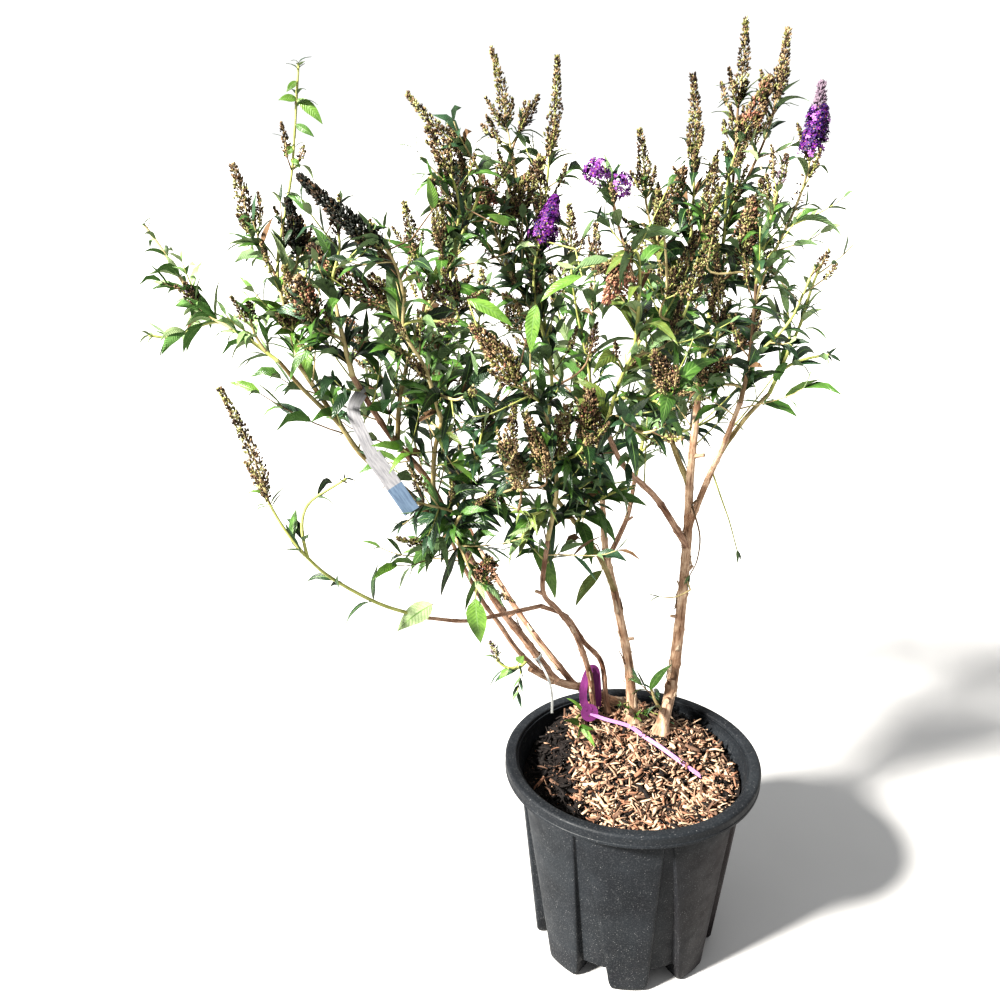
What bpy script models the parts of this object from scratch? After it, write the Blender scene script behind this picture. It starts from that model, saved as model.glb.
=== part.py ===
"""A butterfly bush in a black nursery pot.

Tables and sizes are in millimetres, with the pot's axis at x = y = 0, the ground at z = 0
and the viewer on the -Y side. Solids are scaled to metres as they are made.
"""

import math
import random

import bmesh
import bpy
from mathutils import Matrix, Vector
from mathutils.bvhtree import BVHTree

MM = 0.001
UP = Vector((0, 0, 1))
CLEAR = 0.3  # gap left between neighbouring parts

# The pot
RIM_RADIUS = 170
RIM_LIP_WIDTH = 15.5
RIM_DEPTH = 18
RIM_SKIRT = 3.5
POT_HEIGHT = 290
NECK_RADIUS = 150.5
NECK_HEIGHT = 268
FOOT_RADIUS = 124
FOOT_ROUNDING = 6
FOOT_INNER_RADIUS = 96
FOOT_SLOPE_DEG = 3.5
ARCH_HEIGHT = 26
WALL = 3
FLOOR = 3
PAD_RADIUS = 20
FLUTES = 8
FLUTE_TURN_DEG = 10.5
FLUTE_TOP = 262
FLUTE_WIDTH_TOP = 6
FLUTE_WIDTH_LOW = 38
FLUTE_DEPTH_TOP = 3
FLUTE_DEPTH_LOW = 9
FLUTE_SIDE = 2.5

# The potting mix, mounded up to a flat crown that the stems stand on
MIX_EDGE = 256
CROWN_TOP = 285
CROWN_CENTRE = (2, 72)
CROWN_RADIUS = 72
MOUND_RUN = 75
MIX_ROUGHNESS = 2.5
MIX_RINGS = (122, 84, 44)

# Growth
LEAF_THICK = 1.5
LEAF_WIDEST = 0.42
NODE_SPACING = 62
LEAF_SIZES = (57, 87)
TWIG_RADIUS = 1.7
LEAD_RADIUS = 2.4
SHOOT_STEPS = 3
LIMB_SIDES = 6
MARGIN = 1.0  # room asked for around a leaf, twig or spike of another part

STEM_FOOT = CROWN_TOP + CLEAR

# Limbs: parent and height on it (none means its tip), radius at the foot and at the tip, and the points after
# the foot
LIMBS = {
    "right_stem": (None, 9.5, 4.8, [(46, 55, STEM_FOOT), (61, 75, 350), (67, 80, 427), (70, 80, 564),
                                    (70, 90, 646), (72, 95, 694), (75, 100, 754)]),
    "middle_stem": (None, 8.4, 3.8, [(12, 85, STEM_FOOT), (4, 105, 371), (-14, 130, 456),
                                     (-30, 160, 530), (-33, 200, 617)]),
    "thin_left_stem": (None, 4.8, 3.2, [(-42, 96, STEM_FOOT), (-53, 80, 368), (-77, 50, 446), (-102, 20, 496),
                                        (-123, 0, 534), (-119, -20, 612)]),
    "thin_right_stem": (None, 4.2, 3.2, [(-22, 104, STEM_FOOT), (-34, 105, 370), (-62, 84, 415), (-89, 54, 469),
                                         (-125, 12, 506)]),
    "long_bough": (("thin_right_stem", None), 3.2, 2.4, [(-177, -40, 520), (-219, -75, 530), (-261, -100, 547)]),
    "cut_stem": (None, 7.0, 5.6, [(2, 132, STEM_FOOT), (-22, 124, 300), (-44, 112, 320), (-64, 100, 334),
                                  (-84, 88, 345), (-106, 74, 362), (-136, 60, 387)]),
    "right_inner_bough": (("right_stem", 640), 4.4, 3.2, [(49, 110, 690), (37, 140, 735)]),
    "right_side_bough": (("right_stem", 585), 5.0, 3.2, [(88, 60, 664), (95, 30, 711), (106, 0, 780)]),
    "right_front_bough": (("right_stem", 560), 5.2, 3.0, [(21, 40, 641), (-28, -10, 702), (-57, -50, 761)]),
    "right_arch_bough": (("right_side_bough", 708), 3.4, 2.6, [(120, 22, 755), (144, 20, 784)]),
    "middle_front_bough": (("middle_stem", 468), 4.2, 2.8, [(-44, 100, 537), (-99, 50, 630), (-128, 20, 672)]),
    "middle_back_bough": (("middle_stem", 508), 4.2, 3.2, [(2, 180, 559), (16, 220, 602)]),
    "left_main_bough": (("cut_stem", 358), 6.2, 3.4, [(-140, 62, 425), (-168, 50, 470), (-190, 40, 512),
                                                      (-234, 10, 612), (-263, -20, 689), (-297, -40, 742),
                                                      (-318, -60, 785), (-338, -75, 830)]),
    "left_back_bough": (("cut_stem", 338), 5.0, 3.2, [(-126, 104, 410), (-163, 134, 455), (-203, 170, 510),
                                                      (-241, 210, 575)]),
    "left_second_bough": (("cut_stem", 372), 4.0, 2.6, [(-153, 42, 424), (-177, 26, 471), (-200, 10, 515),
                                                        (-224, -12, 577), (-236, -25, 614)]),
    "left_outer_bough": (("left_main_bough", 606), 4.2, 2.9, [(-296, -22, 683), (-336, -40, 726),
                                                              (-364, -50, 776), (-400, -50, 835)]),
    "left_inner_bough": (("left_main_bough", 740), 3.3, 2.7, [(-292, -28, 790), (-283, -22, 830)]),
    "left_mid_bough": (("left_main_bough", 676), 3.3, 2.6, [(-252, -48, 735), (-242, -65, 775)]),
    "far_left_bough": (("left_outer_bough", 768), 2.9, 2.3, [(-390, -82, 815), (-412, -95, 850)]),
}

# Masses of foliage: the limb they go on from (a height means its side, none its tip), the points of the
# leading shoot, and side shoots as (station on the lead, flower's foot, flower's tip, kind of flower)
MASSES = {
    "crown_right": ("right_stem", None, [(80, 105, 815), (86, 110, 880), (101, 110, 1000)], [
        (1.0, (100, 110, 1112), (101, 110, 1198), "slim"),
        (0.8, (98, 78, 1064), (126, 76, 1136), "broad"),
        (0.9, (146, 122, 1112), (153, 122, 1190), "spike"),
        (0.55, (104, 36, 955), (108, 34, 1008), "broad"),
        (0.2, (80, 36, 866), (70, 32, 948), "spike"),
        (0.5, (140, 168, 960), (152, 178, 1022), "spike")]),
    "crown_inner": ("right_inner_bough", None, [(42, 150, 790), (50, 146, 840), (57, 125, 930)], [
        (1.0, (50, 98, 1050), (43, 98, 1138), "spike"),
        (0.95, (62, 58, 990), (68, 56, 1052), "spike"),
        (0.75, (20, 130, 972), (46, 132, 1036), "broad"),
        (0.6, (0, 142, 1008), (-10, 142, 1080), "spike"),
        (0.5, (18, 34, 902), (48, 30, 972), "spike"),
        (0.4, (30, 214, 930), (30, 226, 992), "spike")]),
    "right_side": ("right_side_bough", None, [(110, -10, 837), (112, 0, 931)], [
        (0.8, (168, 30, 1058), (172, 30, 1132), "bloom"),
        (0.95, (128, 0, 1026), (133, 0, 1058), "tuft"),
        (0.3, (150, -42, 900), (162, -50, 946), "leafy"),
        (0.12, (56, -6, 806), (88, -14, 834), "broad")]),
    "right_arch": ("right_arch_bough", None, [(162, 30, 825), (179, 40, 865)], [
        (1.0, (196, 48, 926), (202, 50, 940), "leafy"),
        (0.3, (190, -14, 838), (196, -24, 842), "leafy"),
        (0.6, (176, 96, 880), (180, 112, 892), "leafy")]),
    "front_right": ("right_front_bough", None, [(-46, -80, 827), (-29, -100, 875)], [
        (0.35, (2, -120, 826), (-18, -124, 868), "broad"),
        (0.9, (-48, -118, 962), (-70, -122, 916), "pink"),
        (0.8, (10, -82, 880), (15, -80, 914), "tuft"),
        (1.0, (-60, -42, 1018), (-68, -40, 1048), "head"),
        (0.15, (-14, -142, 790), (-6, -152, 800), "leafy")]),
    "centre_top": ("middle_front_bough", None, [(-122, 8, 740), (-116, 14, 806), (-130, 50, 902)], [
        (1.0, (-120, 78, 1052), (-113, 80, 1158), "slim"),
        (0.9, (-152, 100, 1082), (-132, 102, 1118), "tuft"),
        (0.95, (-170, 80, 1085), (-187, 80, 1168), "slim"),
        (0.8, (-170, 40, 986), (-130, 38, 1052), "broad"),
        (0.6, (-132, -2, 966), (-117, -2, 1010), "bloom"),
        (0.7, (-190, 28, 996), (-198, 28, 1032), "pink")]),
    "centre_front": ("thin_left_stem", None, [(-110, -32, 680), (-118, -64, 748), (-132, -98, 815)], [
        (0.95, (-160, -130, 838), (-206, -132, 898), "broad"),
        (0.6, (-172, -110, 742), (-162, -114, 808), "spike"),
        (0.5, (-84, -104, 770), (-80, -108, 822), "broad"),
        (0.2, (-146, -76, 668), (-156, -88, 676), "leafy")]),
    "centre_low": ("middle_front_bough", 596, [(-70, 18, 640), (-66, -8, 690)], [
        (0.95, (-62, -26, 742), (-64, -30, 778), "tuft"),
        (0.5, (-30, -16, 676), (-20, -22, 682), "leafy")]),
    "centre_left": ("left_inner_bough", None, [(-268, -12, 874), (-230, 0, 950)], [
        (0.9, (-212, 0, 1058), (-276, 0, 1118), "slim"),
        (1.0, (-230, -28, 1038), (-254, -32, 1086), "spike"),
        (0.75, (-216, 34, 990), (-228, 36, 1046), "dark"),
        (0.6, (-240, -48, 966), (-250, -52, 1036), "spike")]),
    "left_top": ("left_mid_bough", None, [(-258, -82, 840), (-278, -92, 882), (-276, -98, 926)], [
        (1.0, (-300, -112, 978), (-376, -110, 1043), "dark"),
        (0.7, (-302, -62, 906), (-380, -58, 968), "broad"),
        (0.8, (-222, -102, 906), (-236, -104, 950), "tuft"),
        (0.2, (-214, -124, 822), (-204, -134, 836), "leafy")]),
    "left_low": ("left_main_bough", 616, [(-222, -34, 662), (-206, -56, 716)], [
        (0.95, (-196, -72, 772), (-190, -78, 812), "tuft"),
        (0.5, (-172, -62, 690), (-162, -70, 696), "leafy"),
        (0.3, (-262, -86, 684), (-272, -98, 692), "leafy")]),
    "left_shoulder": ("left_main_bough", None, [(-346, -84, 880), (-356, -70, 930)], [
        (1.0, (-344, -84, 984), (-350, -88, 1018), "tuft"),
        (0.4, (-372, -112, 900), (-382, -118, 944), "broad")]),
    "left_outer": ("left_outer_bough", None, [(-409, -46, 878), (-422, -36, 934)], [
        (1.0, (-448, -28, 982), (-461, -30, 1050), "spike"),
        (0.8, (-400, -14, 956), (-408, -14, 1012), "dark"),
        (0.3, (-398, -84, 890), (-402, -86, 952), "spike"),
        (0.95, (-400, 0, 1060), (-389, 2, 1148), "leafy"),
        (0.5, (-402, 40, 940), (-410, 60, 986), "spike")]),
    "far_left": ("far_left_bough", None, [(-450, -90, 878), (-486, -80, 896)], [
        (1.0, (-556, -30, 978), (-562, -28, 986), "leafy"),
        (0.9, (-544, -78, 874), (-554, -80, 876), "leafy"),
        (0.7, (-498, -84, 912), (-508, -86, 934), "tuft"),
        (0.2, (-438, -100, 896), (-440, -102, 918), "tuft")]),
    "long_shoot": ("long_bough", None, [(-312, -130, 580), (-362, -158, 627), (-388, -178, 667)], [
        (1.0, (-418, -180, 728), (-457, -180, 846), "slim"),
        (0.97, (-368, -172, 726), (-336, -172, 746), "leafy")]),
    "lower_left": ("left_second_bough", None, [(-232, -52, 640), (-222, -78, 668)], [
        (0.5, (-262, -80, 630), (-296, -82, 642), "tuft"),
        (0.3, (-196, -92, 590), (-190, -94, 622), "broad")]),
    "back_left": ("left_back_bough", None, [(-255, 230, 640), (-262, 240, 700), (-255, 250, 760)], [
        (0.9, (-318, 296, 840), (-338, 302, 900), "spike"),
        (1.0, (-246, 280, 896), (-248, 286, 956), "spike"),
        (0.5, (-366, 258, 776), (-390, 260, 826), "broad"),
        (0.7, (-206, 330, 826), (-204, 346, 882), "spike"),
        (0.85, (-290, 190, 930), (-300, 186, 992), "spike")]),
    "back_centre": ("middle_stem", None, [(-45, 225, 690), (-52, 240, 760)], [
        (1.0, (-44, 296, 890), (-44, 302, 950), "spike"),
        (0.7, (-92, 378, 826), (-104, 392, 884), "spike"),
        (0.5, (-150, 326, 800), (-170, 336, 848), "broad"),
        (0.9, (-84, 210, 920), (-88, 206, 986), "spike")]),
    "back_right": ("middle_back_bough", None, [(30, 240, 670), (43, 250, 730)], [
        (1.0, (108, 292, 868), (118, 298, 926), "spike"),
        (0.7, (44, 376, 826), (50, 392, 884), "spike"),
        (0.5, (158, 258, 790), (182, 262, 840), "broad"),
        (0.3, (110, 190, 700), (124, 184, 712), "leafy")]),
    "low_sprout": ("left_second_bough", 404, [(-152, 38, 401), (-168, 32, 404)], [
        (1.0, (-180, 32, 416), (-191, 30, 446), "young")]),
    "left_sprout": ("thin_left_stem", 290, [(-64, 84, 297), (-72, 56, 303), (-68, 26, 316)], []),
    "right_sprout": ("right_stem", 312, [(38, 62, 334), (32, 62, 352)], []),
}

# Masses whose leaves are smaller than the rest
LEAF_SHARE = {"far_left": 0.6, "right_arch": 0.62, "right_side": 0.85, "left_outer": 0.8, "long_shoot": 0.65,
              "low_sprout": 0.6, "left_sprout": 0.7, "right_sprout": 0.7, "crown_right": 0.9, "centre_low": 0.9}
# How far from its foot the first leaves of a mass's leading shoot sit
LEAF_FIRST = {"long_shoot": 78}
# How much smaller leaves are at a shoot's tip than at its foot
LEAF_FALL = {"leafy": 0.75}

# Flower kinds: radius, sides and rings
FLOWERS = {
    "slim": (11.5, 4, 6),
    "spike": (13, 4, 5),
    "dark": (14.5, 4, 6),
    "broad": (18, 5, 5),
    "pink": (15, 4, 4),
    "tuft": (9.5, 4, 4),
    "young": (8, 4, 4),
    "bloom": (17.5, 5, 5),
    "head": (23, 6, 4),
}

# Labels and tie
TAG_THICK = 0.9
TAG_WIDTH = 11
TAIL_WIDTH = 7
TAG_HEAD_RADIUS = 12.5
TAG_HEAD_AT = (-51, 78, 305)
TAG_LOOP = [(-51, 79, 307), (-59, 83, 319), (-60, 87, 334), (-57, 90, 352), (-50, 94, 366),
            (-43, 98, 362), (-40, 100, 345), (-38, 101, 318), (-38, 102, 300)]
TAG_TAIL = [(-50, 78), (-30, 73), (4, 64), (20, 41), (38, 17), (54, 0), (73, -10), (92, -19)]
STRAP_WIDTH = 14
STRAP_AT = 812
STRAP = [(-337, -90, 796), (-327, -99, 770), (-316, -102, 745)]
PLATE_WIDTH = 19
PLATE = [(-317, -102, 748), (-296, -104, 716), (-275, -106, 683)]
TIE_WIDTH = 3
TIE_AT = 402
TIE_TAIL = [(-113, 55, 378), (-106, 55, 352), (-105, 57, 318)]


def closed(verts, faces):
    """The shell with its faces turned outward."""
    volume = 0
    for face in faces:
        for i in range(1, len(face) - 1):
            volume += verts[face[0]].dot(verts[face[i]].cross(verts[face[i + 1]]))
    if volume < 0:
        faces = [tuple(reversed(face)) for face in faces]
    return verts, faces


def smooth(points, steps):
    """A curve through the points, with the given number of steps between each two."""
    pts = [Vector(p) for p in points]
    ends = [2 * pts[0] - pts[1], *pts, 2 * pts[-1] - pts[-2]]
    out = []
    for i in range(1, len(ends) - 2):
        p0, p1, p2, p3 = ends[i - 1:i + 3]
        for s in range(steps):
            t = s / steps
            out.append(0.5 * (2 * p1 + (p2 - p0) * t + (2 * p0 - 5 * p1 + 4 * p2 - p3) * t ** 2
                              + (3 * p1 - p0 - 3 * p2 + p3) * t ** 3))
    out.append(pts[-1])
    return out


def lengths(path):
    """Distance along the path at each of its points."""
    out = [0.0]
    for a, b in zip(path, path[1:]):
        out.append(out[-1] + (b - a).length)
    return out


def at_station(path, share):
    """The point and direction at a share of the path's length."""
    marks = lengths(path)
    want = share * marks[-1]
    for i in range(len(path) - 1):
        if marks[i + 1] >= want or i == len(path) - 2:
            run = marks[i + 1] - marks[i]
            t = (want - marks[i]) / run
            return path[i].lerp(path[i + 1], t), (path[i + 1] - path[i]).normalized()


def at_height(path, height):
    """The point where the path first reaches a height."""
    for a, b in zip(path, path[1:]):
        if a.z <= height <= b.z:
            return a.lerp(b, (height - a.z) / (b.z - a.z))
    raise ValueError(f"the path doesn't reach {height}")


def frames(path, first=None):
    """A direction and two cross directions at each point, carried along without twist."""
    tangents = []
    for i in range(len(path)):
        a = path[max(i - 1, 0)]
        b = path[min(i + 1, len(path) - 1)]
        tangents.append((b - a).normalized())
    if first is not None:
        tangents[0] = first
    side = tangents[0].orthogonal().normalized()
    out = []
    for tangent in tangents:
        side = (side - tangent * side.dot(tangent)).normalized()
        out.append((tangent, side, tangent.cross(side)))
    return out


def tube(path, radii, sides, first=None):
    """A closed tube of flat sides round a path; first sets the direction of the cut at its foot."""
    verts = []
    for point, radius, (_, u, v) in zip(path, radii, frames(path, first)):
        for k in range(sides):
            a = 2 * math.pi * k / sides
            verts.append(point + radius * (math.cos(a) * u + math.sin(a) * v))
    faces = []
    for i in range(len(path) - 1):
        for k in range(sides):
            m = (k + 1) % sides
            faces.append((i * sides + k, i * sides + m, (i + 1) * sides + m, (i + 1) * sides + k))
    faces.append(tuple(range(sides - 1, -1, -1)))
    last = (len(path) - 1) * sides
    faces.append(tuple(range(last, last + sides)))
    return closed(verts, faces)


def strip(path, width, thick, flat):
    """A flat band along a path, its broad side facing the flat direction."""
    verts = []
    for point, (tangent, _, _) in zip(path, frames(path)):
        across = tangent.cross(flat).normalized()
        out = across.cross(tangent).normalized()
        for s, t in ((-1, -1), (1, -1), (1, 1), (-1, 1)):
            verts.append(point + across * s * width / 2 + out * t * thick / 2)
    faces = []
    for i in range(len(path) - 1):
        for k in range(4):
            m = (k + 1) % 4
            faces.append((i * 4 + k, i * 4 + m, (i + 1) * 4 + m, (i + 1) * 4 + k))
    faces.append((3, 2, 1, 0))
    last = (len(path) - 1) * 4
    faces.append((last, last + 1, last + 2, last + 3))
    return closed(verts, faces)


def disc(centre, normal, radius, thick, sides):
    """A round plate."""
    half = normal.normalized() * thick / 2
    return tube([centre - half, centre + half], [radius, radius], sides)


def leaf(foot, heading, crown, length, width, thick, droop):
    """A leaf of eight faces: it rises from its foot, bends at its widest place and hangs to its tip."""
    side = heading.cross(crown).normalized()
    middle = foot + heading * length * LEAF_WIDEST + crown * length * 0.05
    hang = (heading - UP * droop).normalized()
    tip = middle + hang * length * (1 - LEAF_WIDEST)
    fold = crown * width * 0.16
    verts = [foot, tip, middle + side * width / 2 + fold, middle - side * width / 2 + fold,
             middle + crown * thick / 2, middle - crown * thick / 2]
    faces = [(0, 2, 4), (2, 1, 4), (1, 3, 4), (3, 0, 4), (2, 0, 5), (1, 2, 5), (3, 1, 5), (0, 3, 5)]
    return closed(verts, faces)


def flower(foot, tip, radius, sides, rings, extra=0.0):
    """A spike of flower heads in whorls, wide and narrow by turns, closing to its tip."""
    axis = tip - foot
    bend = axis.orthogonal().normalized() * axis.length * 0.04
    path = []
    radii = []
    for i in range(rings):
        t = i / (rings - 1)
        path.append(foot + axis * t + bend * math.sin(math.pi * t))
        swell = 0.55 + 0.45 * min(1, t / 0.2) - 0.62 * max(0, (t - 0.2) / 0.8)
        radii.append(radius * swell * (1.18 if i % 2 else 0.82) + extra)
    verts = []
    for i, (point, (_, u, v)) in enumerate(zip(path, frames(path))):
        for k in range(sides):
            a = 2 * math.pi * (k + 0.5 * (i % 2)) / sides
            verts.append(point + radii[i] * (math.cos(a) * u + math.sin(a) * v))
    faces = []
    for i in range(rings - 1):
        for k in range(sides):
            m = (k + 1) % sides
            low, high = i * sides, (i + 1) * sides
            if i % 2:
                faces.append((low + k, low + m, high + m))
                faces.append((low + k, high + m, high + k))
            else:
                faces.append((low + k, low + m, high + k))
                faces.append((low + m, high + m, high + k))
    faces.append(tuple(range(sides - 1, -1, -1)))
    faces.append(tuple(range((rings - 1) * sides, rings * sides)))
    return closed(verts, faces)


class Piece:
    """A shell already placed, with the node it belongs to."""

    def __init__(self, node, shell):
        self.node = node
        self.shell = shell
        verts, faces = shell
        self.low = Vector(min(v[i] for v in verts) for i in range(3))
        self.high = Vector(max(v[i] for v in verts) for i in range(3))
        self.tree = BVHTree.FromPolygons(verts, faces)

    def meets(self, other):
        for i in range(3):
            if self.low[i] > other.high[i] or other.low[i] > self.high[i]:
                return False
        return bool(self.tree.overlap(other.tree))


placed = []


def is_free(node, shell, own=()):
    """Whether a shell keeps clear of every other node, and of its own node's pieces but those named."""
    piece = Piece(node, shell)
    for other in placed:
        if other.node == node and (own is None or any(other is keep for keep in own)):
            continue
        if piece.meets(other):
            return False
    return True


def place(node, shell):
    piece = Piece(node, shell)
    placed.append(piece)
    return piece


def solid(name, shell, hidden=False):
    """A shell as an object in metres."""
    verts, faces = shell
    mesh = bpy.data.meshes.new(name)
    mesh.from_pydata([v * MM for v in verts], [], faces)
    mesh.update()
    thing = bpy.data.objects.new(name, mesh)
    bpy.context.scene.collection.objects.link(thing)
    thing.hide_render = hidden
    return thing


def drop(thing):
    mesh = thing.data
    bpy.data.objects.remove(thing)
    bpy.data.meshes.remove(mesh)


def apply_boolean(thing, operation, operands, solver):
    """One Boolean with a collection of operands, applied, and its operands removed."""
    group = bpy.data.collections.new(thing.name + "_operands")
    bpy.context.scene.collection.children.link(group)
    for operand in operands:
        bpy.context.scene.collection.objects.unlink(operand)
        group.objects.link(operand)
    step = thing.modifiers.new("join", "BOOLEAN")
    step.operation = operation
    step.operand_type = "COLLECTION"
    step.collection = group
    step.solver = solver
    made = bpy.data.meshes.new_from_object(thing.evaluated_get(bpy.context.evaluated_depsgraph_get()))
    thing.modifiers.clear()
    old = thing.data
    thing.data = made
    bpy.data.meshes.remove(old)
    for operand in list(group.objects):
        drop(operand)
    bpy.data.collections.remove(group)
    return thing


def keep_body(thing):
    """Keep the solid's largest body and split its faces into triangles."""
    bm = bmesh.new()
    bm.from_mesh(thing.data)
    bmesh.ops.triangulate(bm, faces=bm.faces)
    left = set(bm.verts)
    bodies = []
    while left:
        queue = [left.pop()]
        body = set(queue)
        while queue:
            for edge in queue.pop().link_edges:
                for vert in edge.verts:
                    if vert not in body:
                        body.add(vert)
                        queue.append(vert)
        left -= body
        bodies.append(body)
    largest = max(bodies, key=len)
    scrap = [v for v in bm.verts if v not in largest]
    bmesh.ops.delete(bm, geom=scrap, context="VERTS")
    bm.to_mesh(thing.data)
    bm.free()
    thing.data.name = thing.name


def join(name, shells):
    """The shells as one solid."""
    thing = solid(name, shells[0])
    if len(shells) > 1:
        apply_boolean(thing, "UNION", [solid(name + "_operand", s, True) for s in shells[1:]], "MANIFOLD")
    return thing


# The pot and its mix are made of rings of the same columns, so that one fits in the other

def taper(z):
    return FOOT_RADIUS + (NECK_RADIUS - FOOT_RADIUS) * z / NECK_HEIGHT


def ring(radius, z, inset=0.0, fluted=False, low=None):
    """One ring: seven columns for each of the eight flutes; low gives the columns between feet a height."""
    share = 1 - z / FLUTE_TOP
    width = (FLUTE_WIDTH_TOP + (FLUTE_WIDTH_LOW - FLUTE_WIDTH_TOP) * share) / FOOT_RADIUS
    depth = (FLUTE_DEPTH_TOP + (FLUTE_DEPTH_LOW - FLUTE_DEPTH_TOP) * share) if fluted else 0
    side = FLUTE_SIDE / FOOT_RADIUS
    slope = math.radians(FOOT_SLOPE_DEG)
    spare = 0.7 * inset / FOOT_RADIUS
    verts = []
    for k in range(FLUTES):
        # One side of a flute runs straight down the pot and the other slants away from it
        left = math.radians(FLUTE_TURN_DEG + 360 / FLUTES * k) - spare
        right = left + width + 2 * spare
        foot = left + FLUTE_WIDTH_LOW / FOOT_RADIUS + 2 * spare
        near, far = left - side - slope, foot + side + slope
        columns = ((near, 0, False), (left - side, 0, True), (left, depth, True), (right, depth, True),
                   (right + side, 0, True), (far, 0, False),
                   ((far + near) / 2 + math.pi / FLUTES, 0, False))
        for a, sunk, arch in columns:
            r = radius - inset - sunk
            height = low if (low is not None and arch) else z
            verts.append(Vector((r * math.sin(a), -r * math.cos(a), height)))
    return verts


def stack(rings):
    """A solid of rings joined in order and closed by a flat face at each end."""
    count = len(rings[0])
    verts = [v for one in rings for v in one]
    faces = []
    for i in range(len(rings) - 1):
        for k in range(count):
            m = (k + 1) % count
            faces.append((i * count + k, i * count + m, (i + 1) * count + m, (i + 1) * count + k))
    faces.append(tuple(range(count - 1, -1, -1)))
    last = (len(rings) - 1) * count
    faces.append(tuple(range(last, last + count)))
    return closed(verts, faces)


def make_pot():
    under = ARCH_HEIGHT
    floor_top = ARCH_HEIGHT + FLOOR
    skirt = RIM_RADIUS - RIM_SKIRT
    rings = [
        ring(FOOT_INNER_RADIUS - 4, under),
        ring(FOOT_INNER_RADIUS, 0, low=under),
        ring(FOOT_RADIUS - FOOT_ROUNDING, 0, fluted=True, low=under),
        ring(taper(FOOT_ROUNDING), FOOT_ROUNDING, fluted=True, low=under + FOOT_ROUNDING),
        ring(taper(FLUTE_TOP), FLUTE_TOP, fluted=True),
        ring(taper(FLUTE_TOP + 3), FLUTE_TOP + 3),
        ring(NECK_RADIUS + 1.5, POT_HEIGHT - 5),
        ring(skirt, POT_HEIGHT - 5),
        ring(skirt, POT_HEIGHT - RIM_DEPTH),
        ring(RIM_RADIUS, POT_HEIGHT - RIM_DEPTH),
        ring(RIM_RADIUS, POT_HEIGHT - 3),
        ring(RIM_RADIUS - 2.5, POT_HEIGHT),
        ring(RIM_RADIUS - RIM_LIP_WIDTH, POT_HEIGHT - 1.5),
        ring(taper(FLUTE_TOP + 3), FLUTE_TOP + 3, inset=WALL),
        ring(taper(FLUTE_TOP), FLUTE_TOP, inset=WALL, fluted=True),
        ring(taper(floor_top), floor_top, inset=WALL, fluted=True),
    ]
    pot = solid("pot", stack(rings))
    pad = solid("pot_pad", tube([Vector((0, 0, 0)), Vector((0, 0, under + FLOOR / 2))],
                                [PAD_RADIUS, PAD_RADIUS], 12), True)
    apply_boolean(pot, "UNION", [pad], "MANIFOLD")
    place("pot", stack(rings))
    return pot


def mix_height(x, y):
    """Height of the mix: a flat crown, falling to the wall."""
    away = math.hypot(x - CROWN_CENTRE[0], y - CROWN_CENTRE[1]) - CROWN_RADIUS
    fall = min(1, max(0, away / MOUND_RUN))
    return CROWN_TOP - (CROWN_TOP - MIX_EDGE) * (fall * fall * (3 - 2 * fall))


def make_mix():
    rng = random.Random("mix")
    bottom = ARCH_HEIGHT + FLOOR + CLEAR
    inset = WALL + CLEAR
    rings = [ring(taper(bottom), bottom, inset=inset, fluted=True),
             ring(taper(MIX_EDGE), MIX_EDGE, inset=inset, fluted=True)]
    for radius in MIX_RINGS:
        level = []
        for v in ring(radius, FLUTE_TOP):
            height = mix_height(v.x, v.y)
            if height < CROWN_TOP - 3:
                height += rng.uniform(-1, 0.6) * MIX_ROUGHNESS
            level.append(Vector((v.x, v.y, height)))
        rings.append(level)
    verts, faces = stack(rings)
    first = (len(rings) - 1) * len(rings[0])
    centre = len(verts)
    verts.append(Vector((0, 0, mix_height(0, 0))))
    cap = next(f for f in faces if len(f) > 4 and min(f) == first)
    faces.remove(cap)
    for i, a in enumerate(cap):
        faces.append((a, cap[(i + 1) % len(cap)], centre))
    place("potting_mix", (verts, faces))
    return closed(verts, faces)


def limb_radii(path, thick, thin, flare):
    """Radii falling evenly along the limb, with a flare at a stem's foot."""
    marks = lengths(path)
    radii = []
    for mark in marks:
        radius = thick + (thin - thick) * mark / marks[-1]
        if flare:
            radius *= 1 + 0.75 * max(0, 1 - mark / 26) ** 2
        radii.append(radius)
    return radii


def grown(radii, by):
    return [r + by for r in radii]


limb_paths = {}
limb_sizes = {}


def spring_from(limb, height):
    """Where a part starts on a limb, and the direction of its foot's cut: its side, or a little past its tip."""
    path = limb_paths[limb]
    if height is not None:
        return at_height(path, height), None
    ahead = (path[-1] - path[-2]).normalized()
    return path[-1] + ahead * CLEAR, ahead


def make_limb(name, plan):
    foot, thick, thin, points = plan
    if foot is None:
        low = Vector(points[0])
        rise = (Vector(points[1]) - low).normalized()
        path = [low, low + rise * 9, low + rise * 26, *[Vector(p) for p in points[1:]]]
        cut = UP
    else:
        start, cut = spring_from(*foot)
        path = smooth([start, *points], 1 if len(points) > 4 else 2)
    radii = limb_radii(path, thick, thin, foot is None)
    limb_paths[name] = path
    limb_sizes[name] = radii
    limb = solid(name, tube(path, radii, LIMB_SIDES, cut))
    if foot is not None and foot[1] is not None:
        cut_from(limb, foot[0])
    keep_body(limb)
    shape = ([v.co / MM for v in limb.data.vertices], [tuple(f.vertices) for f in limb.data.polygons])
    place(name, shape)
    return limb


def cut_from(thing, parent):
    """Take the parent limb's space, and a little more, out of a part that springs from its side."""
    path = limb_paths[parent]
    stem = LIMBS[parent][0] is None
    shape = tube(path, grown(limb_sizes[parent], CLEAR / 0.87), LIMB_SIDES, UP if stem else None)
    apply_boolean(thing, "DIFFERENCE", [solid(parent + "_space", shape, True)], "MANIFOLD")


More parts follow.
